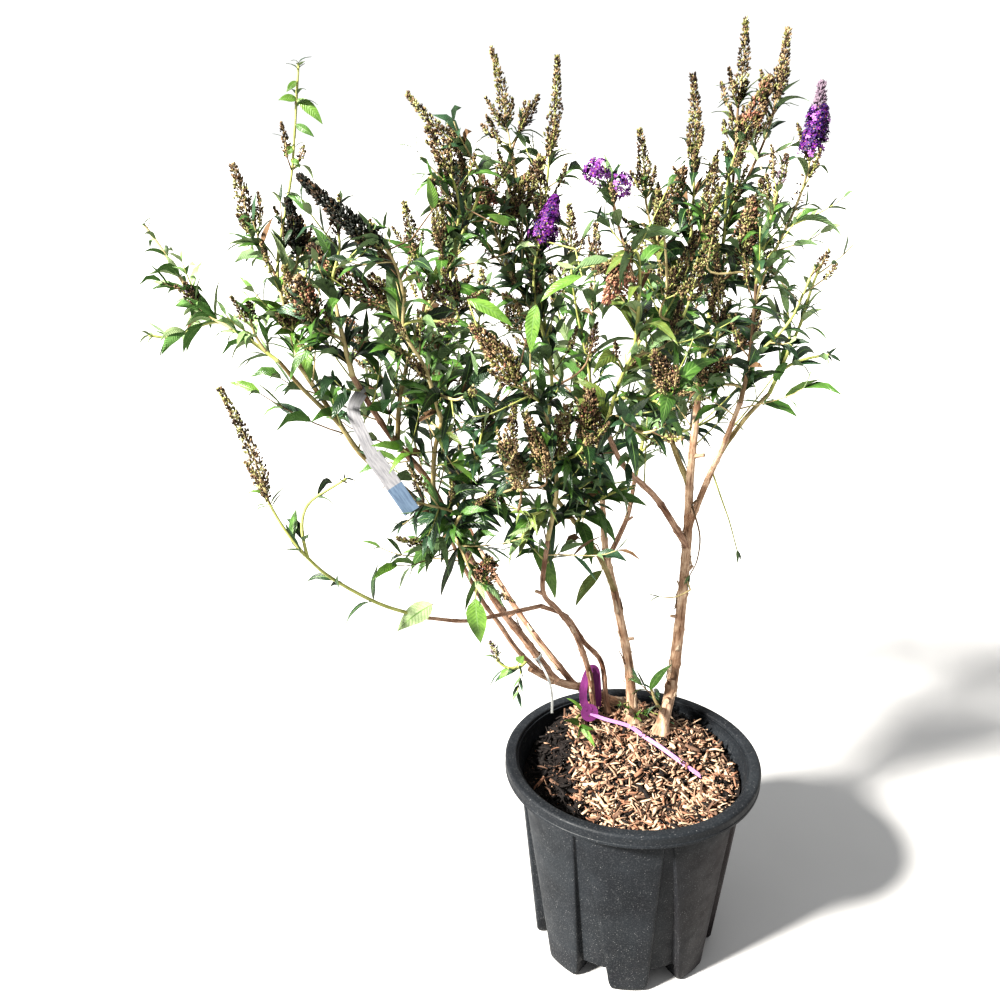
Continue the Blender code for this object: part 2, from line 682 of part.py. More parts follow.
def bend_to(start, heading, foot, axis):
    """A shoot's path: it leaves along a heading and arrives along the flower's axis."""
    run = (foot - start).length
    a = start + heading * run * 0.35
    b = foot - axis * run * 0.4
    out = []
    for i in range(SHOOT_STEPS + 1):
        t = i / SHOOT_STEPS
        out.append(start * (1 - t) ** 3 + a * 3 * t * (1 - t) ** 2 + b * 3 * t ** 2 * (1 - t) + foot * t ** 3)
    return out


def grow_shoots(name, lead, plans):
    """The mass's side shoots with their flowers; one whose way is taken is left out."""
    shoots = []
    for station, foot, tip, kind in plans:
        start, ahead = at_station(lead, station * 0.96)
        low = Vector(foot)
        high = Vector(tip)
        axis = (high - low).normalized()
        heading = ((low - start).normalized() + ahead * 0.8).normalized()
        path = bend_to(start, heading, low, axis)
        if kind == "leafy":
            path.append(high)
        marks = lengths(path)
        radii = [TWIG_RADIUS * 1.15 - 0.6 * m / marks[-1] for m in marks]
        if not is_free(name, tube(path, grown(radii, MARGIN), 3), None):
            print("left out", name, foot, kind)
            continue
        shells = [tube(path[:-1] + [path[-1] + axis * 4], radii, 3)]
        if kind != "leafy":
            if not is_free(name, flower(low, high, *FLOWERS[kind], MARGIN), None):
                print("left out", name, foot, kind)
                continue
            shells.append(flower(low, high, *FLOWERS[kind]))
        shoots.append((path, radii, [place(name, s) for s in shells], kind))
    return shoots


def grow_leaves(name, path, radii, pieces, rng, first=20, fall=0.3):
    """Pairs of leaves along a shoot, each pair turned a quarter from the last."""
    marks = lengths(path)
    total = marks[-1]
    mark = first
    turn = rng.uniform(0, math.pi)
    count = 0
    while mark < total - 6:
        point, ahead = at_station(path, mark / total)
        radius = radii[0] + (radii[-1] - radii[0]) * mark / total
        side = Matrix.Rotation(turn, 3, ahead) @ ahead.orthogonal().normalized()
        size = rng.uniform(*LEAF_SIZES) * (1 - fall * mark / max(total, 160)) * LEAF_SHARE.get(name, 1)
        pair = []
        for sign in (1, -1):
            open_by = math.radians(rng.uniform(48, 66))
            heading = ahead * math.cos(open_by) + side * sign * math.sin(open_by)
            crown = (ahead - heading * ahead.dot(heading)).normalized()
            foot = point - heading * radius * 0.6
            length = size * rng.uniform(0.9, 1.08)
            width = length * rng.uniform(0.2, 0.26)
            droop = rng.uniform(0.35, 1.0)
            if is_free(name, leaf(foot, heading, crown, length * 1.02, width + 2, LEAF_THICK + 2 * MARGIN, droop),
                       pieces + pair):
                pair.append(place(name, leaf(foot, heading, crown, length, width, LEAF_THICK, droop)))
                count += 1
        turn += math.pi / 2 + rng.uniform(-0.25, 0.25)
        mark += NODE_SPACING * rng.uniform(0.85, 1.15)
    return count


def make_lead(name, plan):
    limb, height, points, _ = plan
    start, ahead = spring_from(limb, height)
    thick = limb_sizes[limb][-1] if height is None else LEAD_RADIUS
    lead = smooth([start, *points], 1)
    marks = lengths(lead)
    radii = [thick + (TWIG_RADIUS - thick) * m / marks[-1] for m in marks]
    return lead, radii, place(name, tube(lead, radii, 4, ahead))


def make_masses():
    leads = {}
    shoots = {}
    for name, plan in MASSES.items():
        leads[name] = make_lead(name, plan)
    for name, plan in MASSES.items():
        shoots[name] = grow_shoots(name, leads[name][0], plan[3])
    leaves = 0
    for name, plan in MASSES.items():
        rng = random.Random(name + " leaves")
        lead, radii, piece = leads[name]
        own = [p.shell for p in placed if p.node == name]
        keep = [piece] + [s[2][0] for s in shoots[name]]
        leaves += grow_leaves(name, lead, radii, keep, rng, LEAF_FIRST.get(name, 14))
        for path, sizes, pieces, kind in shoots[name]:
            leaves += grow_leaves(name, path, sizes, [pieces[0], piece], rng, fall=LEAF_FALL.get(kind, 0.3))
        print(name, "pieces", sum(p.node == name for p in placed), "shoots", len(own))
    print("leaves", leaves)
    for name, plan in MASSES.items():
        mass = join("foliage_" + name, [p.shell for p in placed if p.node == name])
        if plan[1] is not None:
            cut_from(mass, plan[0])
        keep_body(mass)
        print(mass.name, "triangles", len(mass.data.polygons))


def hoop(limb, height, width):
    """A flat band closed round a limb, and the point at its front."""
    path = limb_paths[limb]
    centre = at_height(path, height)
    for a, b in zip(path, path[1:]):
        if a.z <= height <= b.z:
            ahead = (b - a).normalized()
    inner = limb_sizes[limb][0] + CLEAR
    for mark, radius in zip(path, limb_sizes[limb]):
        if mark.z <= height:
            inner = radius + CLEAR
    sides = 12
    inner /= math.cos(math.pi / sides)
    u = Vector((0, -1, 0))
    u = (u - ahead * u.dot(ahead)).normalized()
    v = ahead.cross(u)
    verts = []
    for k in range(sides):
        t = 2 * math.pi * k / sides
        out = math.cos(t) * u + math.sin(t) * v
        for r, s in ((inner, -1), (inner + 1, -1), (inner + 1, 1), (inner, 1)):
            verts.append(centre + out * r + ahead * s * width / 2)
    faces = []
    for k in range(sides):
        m = (k + 1) % sides
        for i in range(4):
            j = (i + 1) % 4
            faces.append((k * 4 + i, k * 4 + j, m * 4 + j, m * 4 + i))
    return closed(verts, faces), centre + u * (inner + 0.6)


def make_labels(mix_shell):
    ground = BVHTree.FromPolygons(*mix_shell)
    lift = 1
    while True:
        tail = []
        for i, (x, y) in enumerate(TAG_TAIL):
            hit = ground.ray_cast(Vector((x, y, POT_HEIGHT)), -UP)[0]
            tail.append(Vector((x, y, hit.z + lift + max(0, 2 - i) * 7)))
        tail = strip(tail, TAIL_WIDTH, TAG_THICK, Vector((0.1, -0.1, 1)))
        if is_free("plant_label", tail):
            break
        lift += 0.25
    head = disc(Vector(TAG_HEAD_AT), Vector((0.2, -1, 0.35)), TAG_HEAD_RADIUS, TAG_THICK, 12)
    loop = strip(smooth(TAG_LOOP, 1), TAG_WIDTH, TAG_THICK, Vector((0, -1, 0.2)))
    keep_body(join("plant_label", [head, loop, tail]))

    ring_round, front = hoop("left_main_bough", STRAP_AT, 5)
    strap = strip(smooth([front, *STRAP], 1), STRAP_WIDTH, TAG_THICK, Vector((0.1, -1, 0.1)))
    plate = strip(smooth(PLATE, 1), PLATE_WIDTH, TAG_THICK + 0.2, Vector((0.1, -1, 0.05)))
    keep_body(join("hanging_label", [ring_round, strap, plate]))

    ring_tied, front = hoop("left_main_bough", TIE_AT, 3.5)
    end = strip(smooth([front, *TIE_TAIL], 1), TIE_WIDTH, 1.2, Vector((0.3, -1, 0)))
    keep_body(join("cable_tie", [ring_tied, end]))

    for name, shells in (("plant_label", (head, loop, tail)), ("hanging_label", (ring_round, strap, plate)),
                         ("cable_tie", (ring_tied, end))):
        for shell in shells:
            if not is_free(name, shell, None):
                print("clash", name)
            place(name, shell)


for thing in list(bpy.data.objects):
    bpy.data.objects.remove(thing)

keep_body(make_pot())
mix = make_mix()
keep_body(solid("potting_mix", mix))
for limb_name, limb_plan in LIMBS.items():
    make_limb(limb_name, limb_plan)
make_labels(mix)
make_masses()
total = 0
for thing in bpy.data.objects:
    total += len(thing.data.polygons)
    print(thing.name, len(thing.data.polygons))
print("objects", len(bpy.data.objects), "triangles", total)
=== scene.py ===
"""The looks of a butterfly bush in a black nursery pot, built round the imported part.

Tables and sizes are in millimetres, with the pot's axis at x = y = 0, the ground at z = 0 and the
viewer on the -Y side. Many small shapes are gathered as arrays and become one mesh of each kind,
scaled to metres as it is made.
"""

import math
import random

import bpy
import numpy as np
from mathutils import Matrix, Vector, noise
from mathutils.bvhtree import BVHTree
from mathutils.geometry import delaunay_2d_cdt


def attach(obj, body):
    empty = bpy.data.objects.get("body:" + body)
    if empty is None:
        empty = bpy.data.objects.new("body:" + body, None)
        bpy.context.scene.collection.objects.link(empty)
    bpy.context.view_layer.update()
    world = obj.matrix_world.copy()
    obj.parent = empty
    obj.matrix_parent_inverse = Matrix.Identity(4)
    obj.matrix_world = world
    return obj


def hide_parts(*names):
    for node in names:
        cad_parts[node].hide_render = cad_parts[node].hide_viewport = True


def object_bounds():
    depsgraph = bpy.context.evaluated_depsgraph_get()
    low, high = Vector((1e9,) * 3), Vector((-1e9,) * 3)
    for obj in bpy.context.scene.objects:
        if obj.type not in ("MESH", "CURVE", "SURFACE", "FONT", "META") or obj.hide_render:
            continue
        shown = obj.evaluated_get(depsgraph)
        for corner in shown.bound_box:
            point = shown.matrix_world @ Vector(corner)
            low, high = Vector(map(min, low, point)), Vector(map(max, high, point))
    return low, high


MM = 0.001
UP = Vector((0, 0, 1))
CLEAR = 0.3

# The pot
RIM_RADIUS = 170
RIM_LIP_WIDTH = 15.5
RIM_DEPTH = 18
RIM_SKIRT = 3.5
POT_HEIGHT = 290
NECK_RADIUS = 150.5
NECK_HEIGHT = 268
FOOT_RADIUS = 124
FOOT_INNER_RADIUS = 96
FOOT_SLOPE_DEG = 3.5
ARCH_HEIGHT = 26
WALL = 3
FLOOR = 3
PAD_RADIUS = 20
FLUTES = 8
FLUTE_TURN_DEG = 10.5
FLUTE_TOP = 262
FLUTE_WIDTH_TOP = 6
FLUTE_WIDTH_LOW = 38
FLUTE_DEPTH_TOP = 3
FLUTE_DEPTH_LOW = 9
FLUTE_SIDE = 2.5

# The potting mix and the chips on it
MIX_EDGE = 256
MIX_RADIUS = 145
CROWN_TOP = 285
CROWN_CENTRE = (2, 72)
CROWN_RADIUS = 72
MOUND_RUN = 75
HEAP_RISE = 8
HEAP_FROM = (64, 86)
HEAP_RUN = (50, 40)
BED_SINK = 2.2
CHIPS = 2700
CHIP_CUTS = 4
CHIP_LENGTHS = (7, 33, 15)
CHIP_WIDTHS = (1.4, 6.6, 2.6)
CHIP_THICKS = (0.6, 1.6)
CRUMBS = 4200
CRUMB_LENGTHS = (1.5, 7, 3)
CRUMB_RADII = (0.4, 1.4)

# Growth
LEAF_WIDEST = 0.42
LEAF_HALF_THICK = 0.25
NODE_SPACING = 62
LEAF_SIZES = (57, 87)
BETWEEN_SIZES = (36, 74)
YOUNG_SIZES = (15, 40)
TWIG_LENGTHS = (24, 84)
TWIG_RADIUS = 1.7
LEAD_RADIUS = 2.4
SHOOT_STEPS = 3
FINE_STEPS = 12
BARK_STEP = 3.2
BARK_SIDES = 20
SPINDLE_SIDES = 4
SPINDLE_WIDEST = 0.45

STEM_FOOT = CROWN_TOP + CLEAR

# Limbs: parent and height on it (none means its tip), radius at the foot and at the tip, and the points
# after the foot
LIMBS = {
    "right_stem": (None, 9.5, 4.8, [
        (46, 55, STEM_FOOT), (61, 75, 350), (67, 80, 427), (70, 80, 564), (70, 90, 646), (72, 95, 694),
        (75, 100, 754)]),
    "middle_stem": (None, 8.4, 3.8, [
        (12, 85, STEM_FOOT), (4, 105, 371), (-14, 130, 456), (-30, 160, 530), (-33, 200, 617)]),
    "thin_left_stem": (None, 4.8, 3.2, [
        (-42, 96, STEM_FOOT), (-53, 80, 368), (-77, 50, 446), (-102, 20, 496), (-123, 0, 534),
        (-119, -20, 612)]),
    "thin_right_stem": (None, 4.2, 3.2, [
        (-22, 104, STEM_FOOT), (-34, 105, 370), (-62, 84, 415), (-89, 54, 469), (-125, 12, 506)]),
    "long_bough": (("thin_right_stem", None), 3.2, 2.4, [
        (-177, -40, 520), (-219, -75, 530), (-261, -100, 547)]),
    "cut_stem": (None, 7.0, 5.6, [
        (2, 132, STEM_FOOT), (-22, 124, 300), (-44, 112, 320), (-64, 100, 334), (-84, 88, 345),
        (-106, 74, 362), (-136, 60, 387)]),
    "right_inner_bough": (("right_stem", 640), 4.4, 3.2, [(49, 110, 690), (37, 140, 735)]),
    "right_side_bough": (("right_stem", 585), 5.0, 3.2, [(88, 60, 664), (95, 30, 711), (106, 0, 780)]),
    "right_front_bough": (("right_stem", 560), 5.2, 3.0, [(21, 40, 641), (-28, -10, 702), (-57, -50, 761)]),
    "right_arch_bough": (("right_side_bough", 708), 3.4, 2.6, [(120, 22, 755), (144, 20, 784)]),
    "middle_front_bough": (("middle_stem", 468), 4.2, 2.8, [
        (-44, 100, 537), (-99, 50, 630), (-128, 20, 672)]),
    "middle_back_bough": (("middle_stem", 508), 4.2, 3.2, [(2, 180, 559), (16, 220, 602)]),
    "left_main_bough": (("cut_stem", 358), 6.2, 3.4, [
        (-140, 62, 425), (-168, 50, 470), (-190, 40, 512), (-234, 10, 612), (-263, -20, 689),
        (-297, -40, 742), (-318, -60, 785), (-338, -75, 830)]),
    "left_back_bough": (("cut_stem", 338), 5.0, 3.2, [
        (-126, 104, 410), (-163, 134, 455), (-203, 170, 510), (-241, 210, 575)]),
    "left_second_bough": (("cut_stem", 372), 4.0, 2.6, [
        (-153, 42, 424), (-177, 26, 471), (-200, 10, 515), (-224, -12, 577), (-236, -25, 614)]),
    "left_outer_bough": (("left_main_bough", 606), 4.2, 2.9, [
        (-296, -22, 683), (-336, -40, 726), (-364, -50, 776), (-400, -50, 835)]),
    "left_inner_bough": (("left_main_bough", 740), 3.3, 2.7, [(-292, -28, 790), (-283, -22, 830)]),
    "left_mid_bough": (("left_main_bough", 676), 3.3, 2.6, [(-252, -48, 735), (-242, -65, 775)]),
    "far_left_bough": (("left_outer_bough", 768), 2.9, 2.3, [(-390, -82, 815), (-412, -95, 850)]),
}

# Which bark each limb has: old and pale, or young and yellowish; the others are between
LIMB_TONES = {"right_stem": 0, "middle_stem": 0, "cut_stem": 0, "right_side_bough": 0,
              "right_arch_bough": 2, "left_outer_bough": 2, "left_inner_bough": 2, "left_mid_bough": 2,
              "far_left_bough": 2, "middle_front_bough": 2, "right_inner_bough": 2}

# Masses of foliage: the limb they go on from (a height means its side, none its tip), the points of the
# leading shoot, and side shoots as (station on the lead, flower's foot, flower's tip, kind of flower)
MASSES = {
    "crown_right": ("right_stem", None, [(80, 105, 815), (86, 110, 880), (101, 110, 1000)], [
        (1.0, (100, 110, 1112), (101, 110, 1198), "slim"),
        (0.8, (98, 78, 1064), (126, 76, 1136), "broad"),
        (0.9, (146, 122, 1112), (153, 122, 1190), "spike"),
        (0.55, (104, 36, 955), (108, 34, 1008), "broad"),
        (0.2, (80, 36, 866), (70, 32, 948), "spike"),
        (0.5, (140, 168, 960), (152, 178, 1022), "spike")]),
    "crown_inner": ("right_inner_bough", None, [(42, 150, 790), (50, 146, 840), (57, 125, 930)], [
        (1.0, (50, 98, 1050), (43, 98, 1138), "spike"),
        (0.95, (62, 58, 990), (68, 56, 1052), "spike"),
        (0.75, (20, 130, 972), (46, 132, 1036), "broad"),
        (0.6, (0, 142, 1008), (-10, 142, 1080), "spike"),
        (0.5, (18, 34, 902), (48, 30, 972), "spike"),
        (0.4, (30, 214, 930), (30, 226, 992), "spike")]),
    "right_side": ("right_side_bough", None, [(110, -10, 837), (112, 0, 931)], [
        (0.8, (168, 30, 1058), (172, 30, 1132), "bloom"),
        (0.95, (128, 0, 1026), (133, 0, 1058), "tuft"),
        (0.3, (150, -42, 900), (162, -50, 946), "leafy"),
        (0.12, (56, -6, 806), (88, -14, 834), "broad")]),
    "right_arch": ("right_arch_bough", None, [(162, 30, 825), (179, 40, 865)], [
        (1.0, (196, 48, 926), (202, 50, 940), "leafy"),
        (0.3, (190, -14, 838), (196, -24, 842), "leafy"),
        (0.6, (176, 96, 880), (180, 112, 892), "leafy")]),
    "front_right": ("right_front_bough", None, [(-46, -80, 827), (-29, -100, 875)], [
        (0.35, (2, -120, 826), (-18, -124, 868), "broad"),
        (0.9, (-48, -118, 962), (-70, -122, 916), "pink"),
        (0.8, (10, -82, 880), (15, -80, 914), "tuft"),
        (1.0, (-60, -42, 1018), (-68, -40, 1048), "head"),
        (0.15, (-14, -142, 790), (-6, -152, 800), "leafy")]),
    "centre_top": ("middle_front_bough", None, [(-122, 8, 740), (-116, 14, 806), (-130, 50, 902)], [
        (1.0, (-120, 78, 1052), (-113, 80, 1158), "slim"),
        (0.9, (-152, 100, 1082), (-132, 102, 1118), "tuft"),
        (0.95, (-170, 80, 1085), (-187, 80, 1168), "slim"),
        (0.8, (-170, 40, 986), (-130, 38, 1052), "broad"),
        (0.6, (-132, -2, 966), (-117, -2, 1010), "bloom"),
        (0.7, (-190, 28, 996), (-198, 28, 1032), "pink")]),
    "centre_front": ("thin_left_stem", None, [(-110, -32, 680), (-118, -64, 748), (-132, -98, 815)], [
        (0.95, (-160, -130, 838), (-206, -132, 898), "broad"),
        (0.6, (-172, -110, 742), (-162, -114, 808), "spike"),
        (0.5, (-84, -104, 770), (-80, -108, 822), "broad"),
        (0.2, (-146, -76, 668), (-156, -88, 676), "leafy")]),
    "centre_low": ("middle_front_bough", 596, [(-70, 18, 640), (-66, -8, 690)], [
        (0.95, (-62, -26, 742), (-64, -30, 778), "tuft"),
        (0.5, (-30, -16, 676), (-20, -22, 682), "leafy")]),
    "centre_left": ("left_inner_bough", None, [(-268, -12, 874), (-230, 0, 950)], [
        (0.9, (-212, 0, 1058), (-276, 0, 1118), "slim"),
        (1.0, (-230, -28, 1038), (-254, -32, 1086), "spike"),
        (0.75, (-216, 34, 990), (-228, 36, 1046), "dark"),
        (0.6, (-240, -48, 966), (-250, -52, 1036), "spike")]),
    "left_top": ("left_mid_bough", None, [(-258, -82, 840), (-278, -92, 882), (-276, -98, 926)], [
        (1.0, (-300, -112, 978), (-376, -110, 1043), "dark"),
        (0.7, (-302, -62, 906), (-380, -58, 968), "broad"),
        (0.8, (-222, -102, 906), (-236, -104, 950), "tuft"),
        (0.2, (-214, -124, 822), (-204, -134, 836), "leafy")]),
    "left_low": ("left_main_bough", 616, [(-222, -34, 662), (-206, -56, 716)], [
        (0.95, (-196, -72, 772), (-190, -78, 812), "tuft"),
        (0.5, (-172, -62, 690), (-162, -70, 696), "leafy"),
        (0.3, (-262, -86, 684), (-272, -98, 692), "leafy")]),
    "left_shoulder": ("left_main_bough", None, [(-346, -84, 880), (-356, -70, 930)], [
        (1.0, (-344, -84, 984), (-350, -88, 1018), "tuft"),
        (0.4, (-372, -112, 900), (-382, -118, 944), "broad")]),
    "left_outer": ("left_outer_bough", None, [(-409, -46, 878), (-422, -36, 934)], [
        (1.0, (-448, -28, 982), (-461, -30, 1050), "spike"),
        (0.8, (-400, -14, 956), (-408, -14, 1012), "dark"),
        (0.3, (-398, -84, 890), (-402, -86, 952), "spike"),
        (0.95, (-400, 0, 1060), (-389, 2, 1148), "leafy"),
        (0.5, (-402, 40, 940), (-410, 60, 986), "spike")]),
    "far_left": ("far_left_bough", None, [(-450, -90, 878), (-486, -80, 896)], [
        (1.0, (-556, -30, 978), (-562, -28, 986), "leafy"),
        (0.9, (-544, -78, 874), (-554, -80, 876), "leafy"),
        (0.7, (-498, -84, 912), (-508, -86, 934), "tuft"),
        (0.2, (-438, -100, 896), (-440, -102, 918), "tuft")]),
    "long_shoot": ("long_bough", None, [(-312, -130, 580), (-362, -158, 627), (-388, -178, 667)], [
        (1.0, (-418, -180, 728), (-457, -180, 846), "slim"),
        (0.97, (-368, -172, 726), (-336, -172, 746), "leafy")]),
    "lower_left": ("left_second_bough", None, [(-232, -52, 640), (-222, -78, 668)], [
        (0.5, (-262, -80, 630), (-296, -82, 642), "tuft"),
        (0.3, (-196, -92, 590), (-190, -94, 622), "broad")]),
    "back_left": ("left_back_bough", None, [(-255, 230, 640), (-262, 240, 700), (-255, 250, 760)], [
        (0.9, (-318, 296, 840), (-338, 302, 900), "spike"),
        (1.0, (-246, 280, 896), (-248, 286, 956), "spike"),
        (0.5, (-366, 258, 776), (-390, 260, 826), "broad"),
        (0.7, (-206, 330, 826), (-204, 346, 882), "spike"),
        (0.85, (-290, 190, 930), (-300, 186, 992), "spike")]),
    "back_centre": ("middle_stem", None, [(-45, 225, 690), (-52, 240, 760)], [
        (1.0, (-44, 296, 890), (-44, 302, 950), "spike"),
        (0.7, (-92, 378, 826), (-104, 392, 884), "spike"),
        (0.5, (-150, 326, 800), (-170, 336, 848), "broad"),
        (0.9, (-84, 210, 920), (-88, 206, 986), "spike")]),
    "back_right": ("middle_back_bough", None, [(30, 240, 670), (43, 250, 730)], [
        (1.0, (108, 292, 868), (118, 298, 926), "spike"),
        (0.7, (44, 376, 826), (50, 392, 884), "spike"),
        (0.5, (158, 258, 790), (182, 262, 840), "broad"),
        (0.3, (110, 190, 700), (124, 184, 712), "leafy")]),
    "low_sprout": ("left_second_bough", 404, [(-152, 38, 401), (-168, 32, 404)], [
        (1.0, (-180, 32, 416), (-191, 30, 446), "young")]),
    "left_sprout": ("thin_left_stem", 290, [(-64, 84, 297), (-72, 56, 303), (-68, 26, 316)], []),
    "right_sprout": ("right_stem", 312, [(38, 62, 334), (32, 62, 352)], []),
}

# Masses whose leaves are smaller than the rest
LEAF_SHARE = {"far_left": 0.6, "right_arch": 0.62, "right_side": 0.85, "left_outer": 0.8,
              "long_shoot": 0.65, "low_sprout": 0.6, "left_sprout": 0.7, "right_sprout": 0.7,
              "crown_right": 0.9, "centre_low": 0.9}
# How far from its foot the first leaves of a mass's leading shoot sit
LEAF_FIRST = {"long_shoot": 78}
# How much smaller leaves are at a shoot's tip than at its foot
LEAF_FALL = {"leafy": 0.75}
# How much finer growth a mass has in its axils, 1 where it isn't named
GROWTH = {"long_shoot": 0.12, "far_left": 1.1, "right_arch": 0.4, "low_sprout": 0.1, "left_sprout": 0.2,
          "right_sprout": 0.2, "right_side": 0.9, "left_outer": 1.3, "left_top": 2.0, "left_low": 1.5,
          "left_shoulder": 2.0, "centre_left": 1.8, "lower_left": 1.5, "centre_front": 1.2,
          "front_right": 1.3, "crown_inner": 1.2}
# Masses whose free leafy shoots have hardly any finer growth, and how much that is
BARE_SHOOTS = ("left_outer", "long_shoot")
BARE_GROWTH = 0.15
# Masses that bear no seed heads in their axils; nor do those with under three side shoots
LEAFY_MASSES = ("right_arch", "far_left")
# Masses whose leaves are all of one tone
MASS_TONES = {"far_left": "pale", "centre_low": "mid", "lower_left": "mid"}
# How far a mass's upper part has seed heads where others have leaves, 0 where it isn't named
SEEDY = {"crown_right": 0.9, "crown_inner": 0.7, "centre_top": 0.8, "right_side": 0.6, "centre_front": 0.5,
         "centre_low": 0.8, "lower_left": 0.5, "front_right": 0.4}
# How far up the open flowers of a mass's spike reach
OPEN_SHARE = {"right_side": 0.6, "centre_top": 1.0}

# Leaves that stand out by themselves: region, foot, tip, the way the upper side faces, width and two tones.
# The last few hang among the stems.
SINGLE_LEAVES = [
    ("left", (-254, -122, 576), (-298, -122, 543), (0.1, 1.0, -0.3), 25, "mid", "cream"),
    ("middle", (-141, -150, 922), (-150, -153, 874), (-0.2, -1.0, 0.2), 16, "bright", "leaf"),
    ("middle", (-209, -140, 925), (-163, -150, 901), (-0.3, -0.7, 0.8), 15, "bright", "leaf"),
    ("middle", (-94, -120, 945), (-137, -136, 924), (-0.2, -0.5, 1.0), 16, "bright", "leaf"),
    ("middle", (-168, -60, 988), (-188, -66, 1006), (-0.3, -1.0, 0.3), 10, "bright", "leaf"),
    ("left", (-206, -78, 561), (-203, -84, 506), (-0.2, -1.0, 0.15), 26, "bright", "leaf"),
    ("left", (-245, -84, 1008), (-247, -86, 1040), (0.2, -1.0, 0.1), 12, "bright", "leaf"),
    ("right", (29, 58, 354), (50, 52, 404), (-0.5, -0.8, 0.3), 12, "mid", "leaf"),
    ("left", (-152, 24, 416), (-148, 16, 436), (-0.4, -0.9, 0.2), 13, "bright", "leaf"),
    ("left", (-166, 22, 408), (-179, 16, 396), (-0.2, -0.8, 0.6), 9, "bright", "leaf"),
    ("left", (-393, 0, 1112), (-361, -5, 1092), (-0.2, -1.0, 0.5), 13, "bright", "leaf"),
    ("left", (-393, 0, 1111), (-412, -5, 1117), (0.3, -1.0, 0.5), 9, "bright", "leaf"),
    ("left", (-396, 0, 1087), (-376, -5, 1075), (-0.2, -1.0, 0.5), 9, "mid", "leaf"),
    ("left", (-392, 0, 1130), (-403, -5, 1120), (0.3, -1.0, 0.3), 7, "bright", "leaf"),
    ("left", (-400, 0, 1064), (-412, -5, 1056), (0.3, -1.0, 0.3), 9, "bright", "leaf"),
    ("left", (-403, 0, 1052), (-391, -5, 1044), (0.3, -1.0, 0.3), 7, "bright", "leaf"),
    ("middle", (-137, 20, 588), (-91, 14, 525), (0.2, -0.9, 0.4), 22, "bright", "leaf"),
    ("middle", (-112, 0, 640), (-115, -6, 568), (-0.5, -0.9, 0.1), 13, "blue", "grey"),
    ("middle", (-46, 60, 560), (-73, 56, 554), (0.0, -0.6, 0.8), 13, "olive", "grey"),
    ("middle", (-44, 50, 538), (-89, 44, 498), (-0.3, -0.8, 0.5), 15, "olive", "grey"),
]

# Leafy twigs on the upper parts of the boughs: region, limb, from and to which height, and how many
LIMB_TWIGS = [
    ("left", "left_main_bough", 650, 826, 13), ("left", "left_mid_bough", 690, 772, 8),
    ("left", "left_inner_bough", 750, 826, 8), ("left", "left_outer_bough", 730, 826, 6),
    ("left", "left_second_bough", 560, 610, 5), ("middle", "thin_left_stem", 570, 608, 4),
    ("middle", "middle_front_bough", 580, 668, 7), ("right", "right_front_bough", 660, 756, 6),
    ("right", "right_side_bough", 735, 776, 3), ("right", "right_inner_bough", 690, 730, 4),
    ("right", "right_stem", 690, 750, 5),
]

# Seed heads beside those of the part's masses: region, foot, tip and kind
SINGLE_SPIKES = [
    # The first three are tan heads made paler with painted light
    ("middle", (-126, -100, 722), (-151, -106, 798), "tan_painted_lit"),
    ("middle", (-154, -92, 704), (-168, -98, 763), "tan_painted_lit"),
    ("middle", (-112, -76, 741), (-106, -82, 799), "tan_painted_lit"),
    ("middle", (-234, 0, 1000), (-244, 0, 1042), "tuft"),
    ("middle", (-132, 6, 994), (-136, 4, 1053), "spike"),
    ("right", (52, -16, 945), (57, -20, 996), "spike"),
    ("right", (96, 4, 940), (98, 4, 1002), "spike"),
    ("right", (28, -56, 910), (36, -60, 955), "spike"),
    ("right", (5, 4, 975), (-4, 0, 1020), "spike"),
    ("right", (-40, -96, 926), (-66, -100, 950), "pink"),
    ("middle", (-238, -56, 904), (-254, -62, 936), "tuft"),
    ("middle", (-82, -96, 858), (-76, -100, 894), "tuft"),
    ("left", (-283, -60, 910), (-316, -62, 938), "spike"),
]

# Thin twigs that hang in the open part
HANGING_TWIGS = [
    [(92, 60, 671), (107, 60, 633), (119, 60, 603), (132, 60, 563)],
    [(69, 60, 626), (82, 60, 584), (81, 60, 549), (73, 60, 527)],
    [(71, 40, 515), (52, 40, 505), (32, 40, 505)],
]

# Small green sprouts low on the stems and out of the mix: foot, heading, size
SPROUTS = [
    ((14, 74, 300), (0.1, -0.5, 0.8), 15), ((22, 74, 306), (0.6, -0.5, 0.6), 13),
    ((4, 76, 312), (-0.5, -0.5, 0.7), 13), ((28, 72, 312), (0.5, -0.4, 0.8), 12),
    ((-6, 76, 318), (-0.7, -0.3, 0.6), 11), ((12, 26, 276), (0.3, -0.4, 0.8), 14),
    ((4, 22, 275), (-0.6, -0.4, 0.6), 11), ((60, 62, 300), (0.2, -0.7, 0.6), 12),
]

# Which masses are joined in one piece of each kind
REGIONS = {
    "right": ("crown_right", "crown_inner", "right_side", "right_arch", "front_right", "right_sprout"),
    "middle": ("centre_top", "centre_front", "centre_low", "centre_left", "left_low"),
    "left": ("left_top", "left_shoulder", "left_outer", "far_left", "long_shoot", "lower_left",
             "low_sprout", "left_sprout"),
    "back": ("back_left", "back_centre", "back_right"),
}

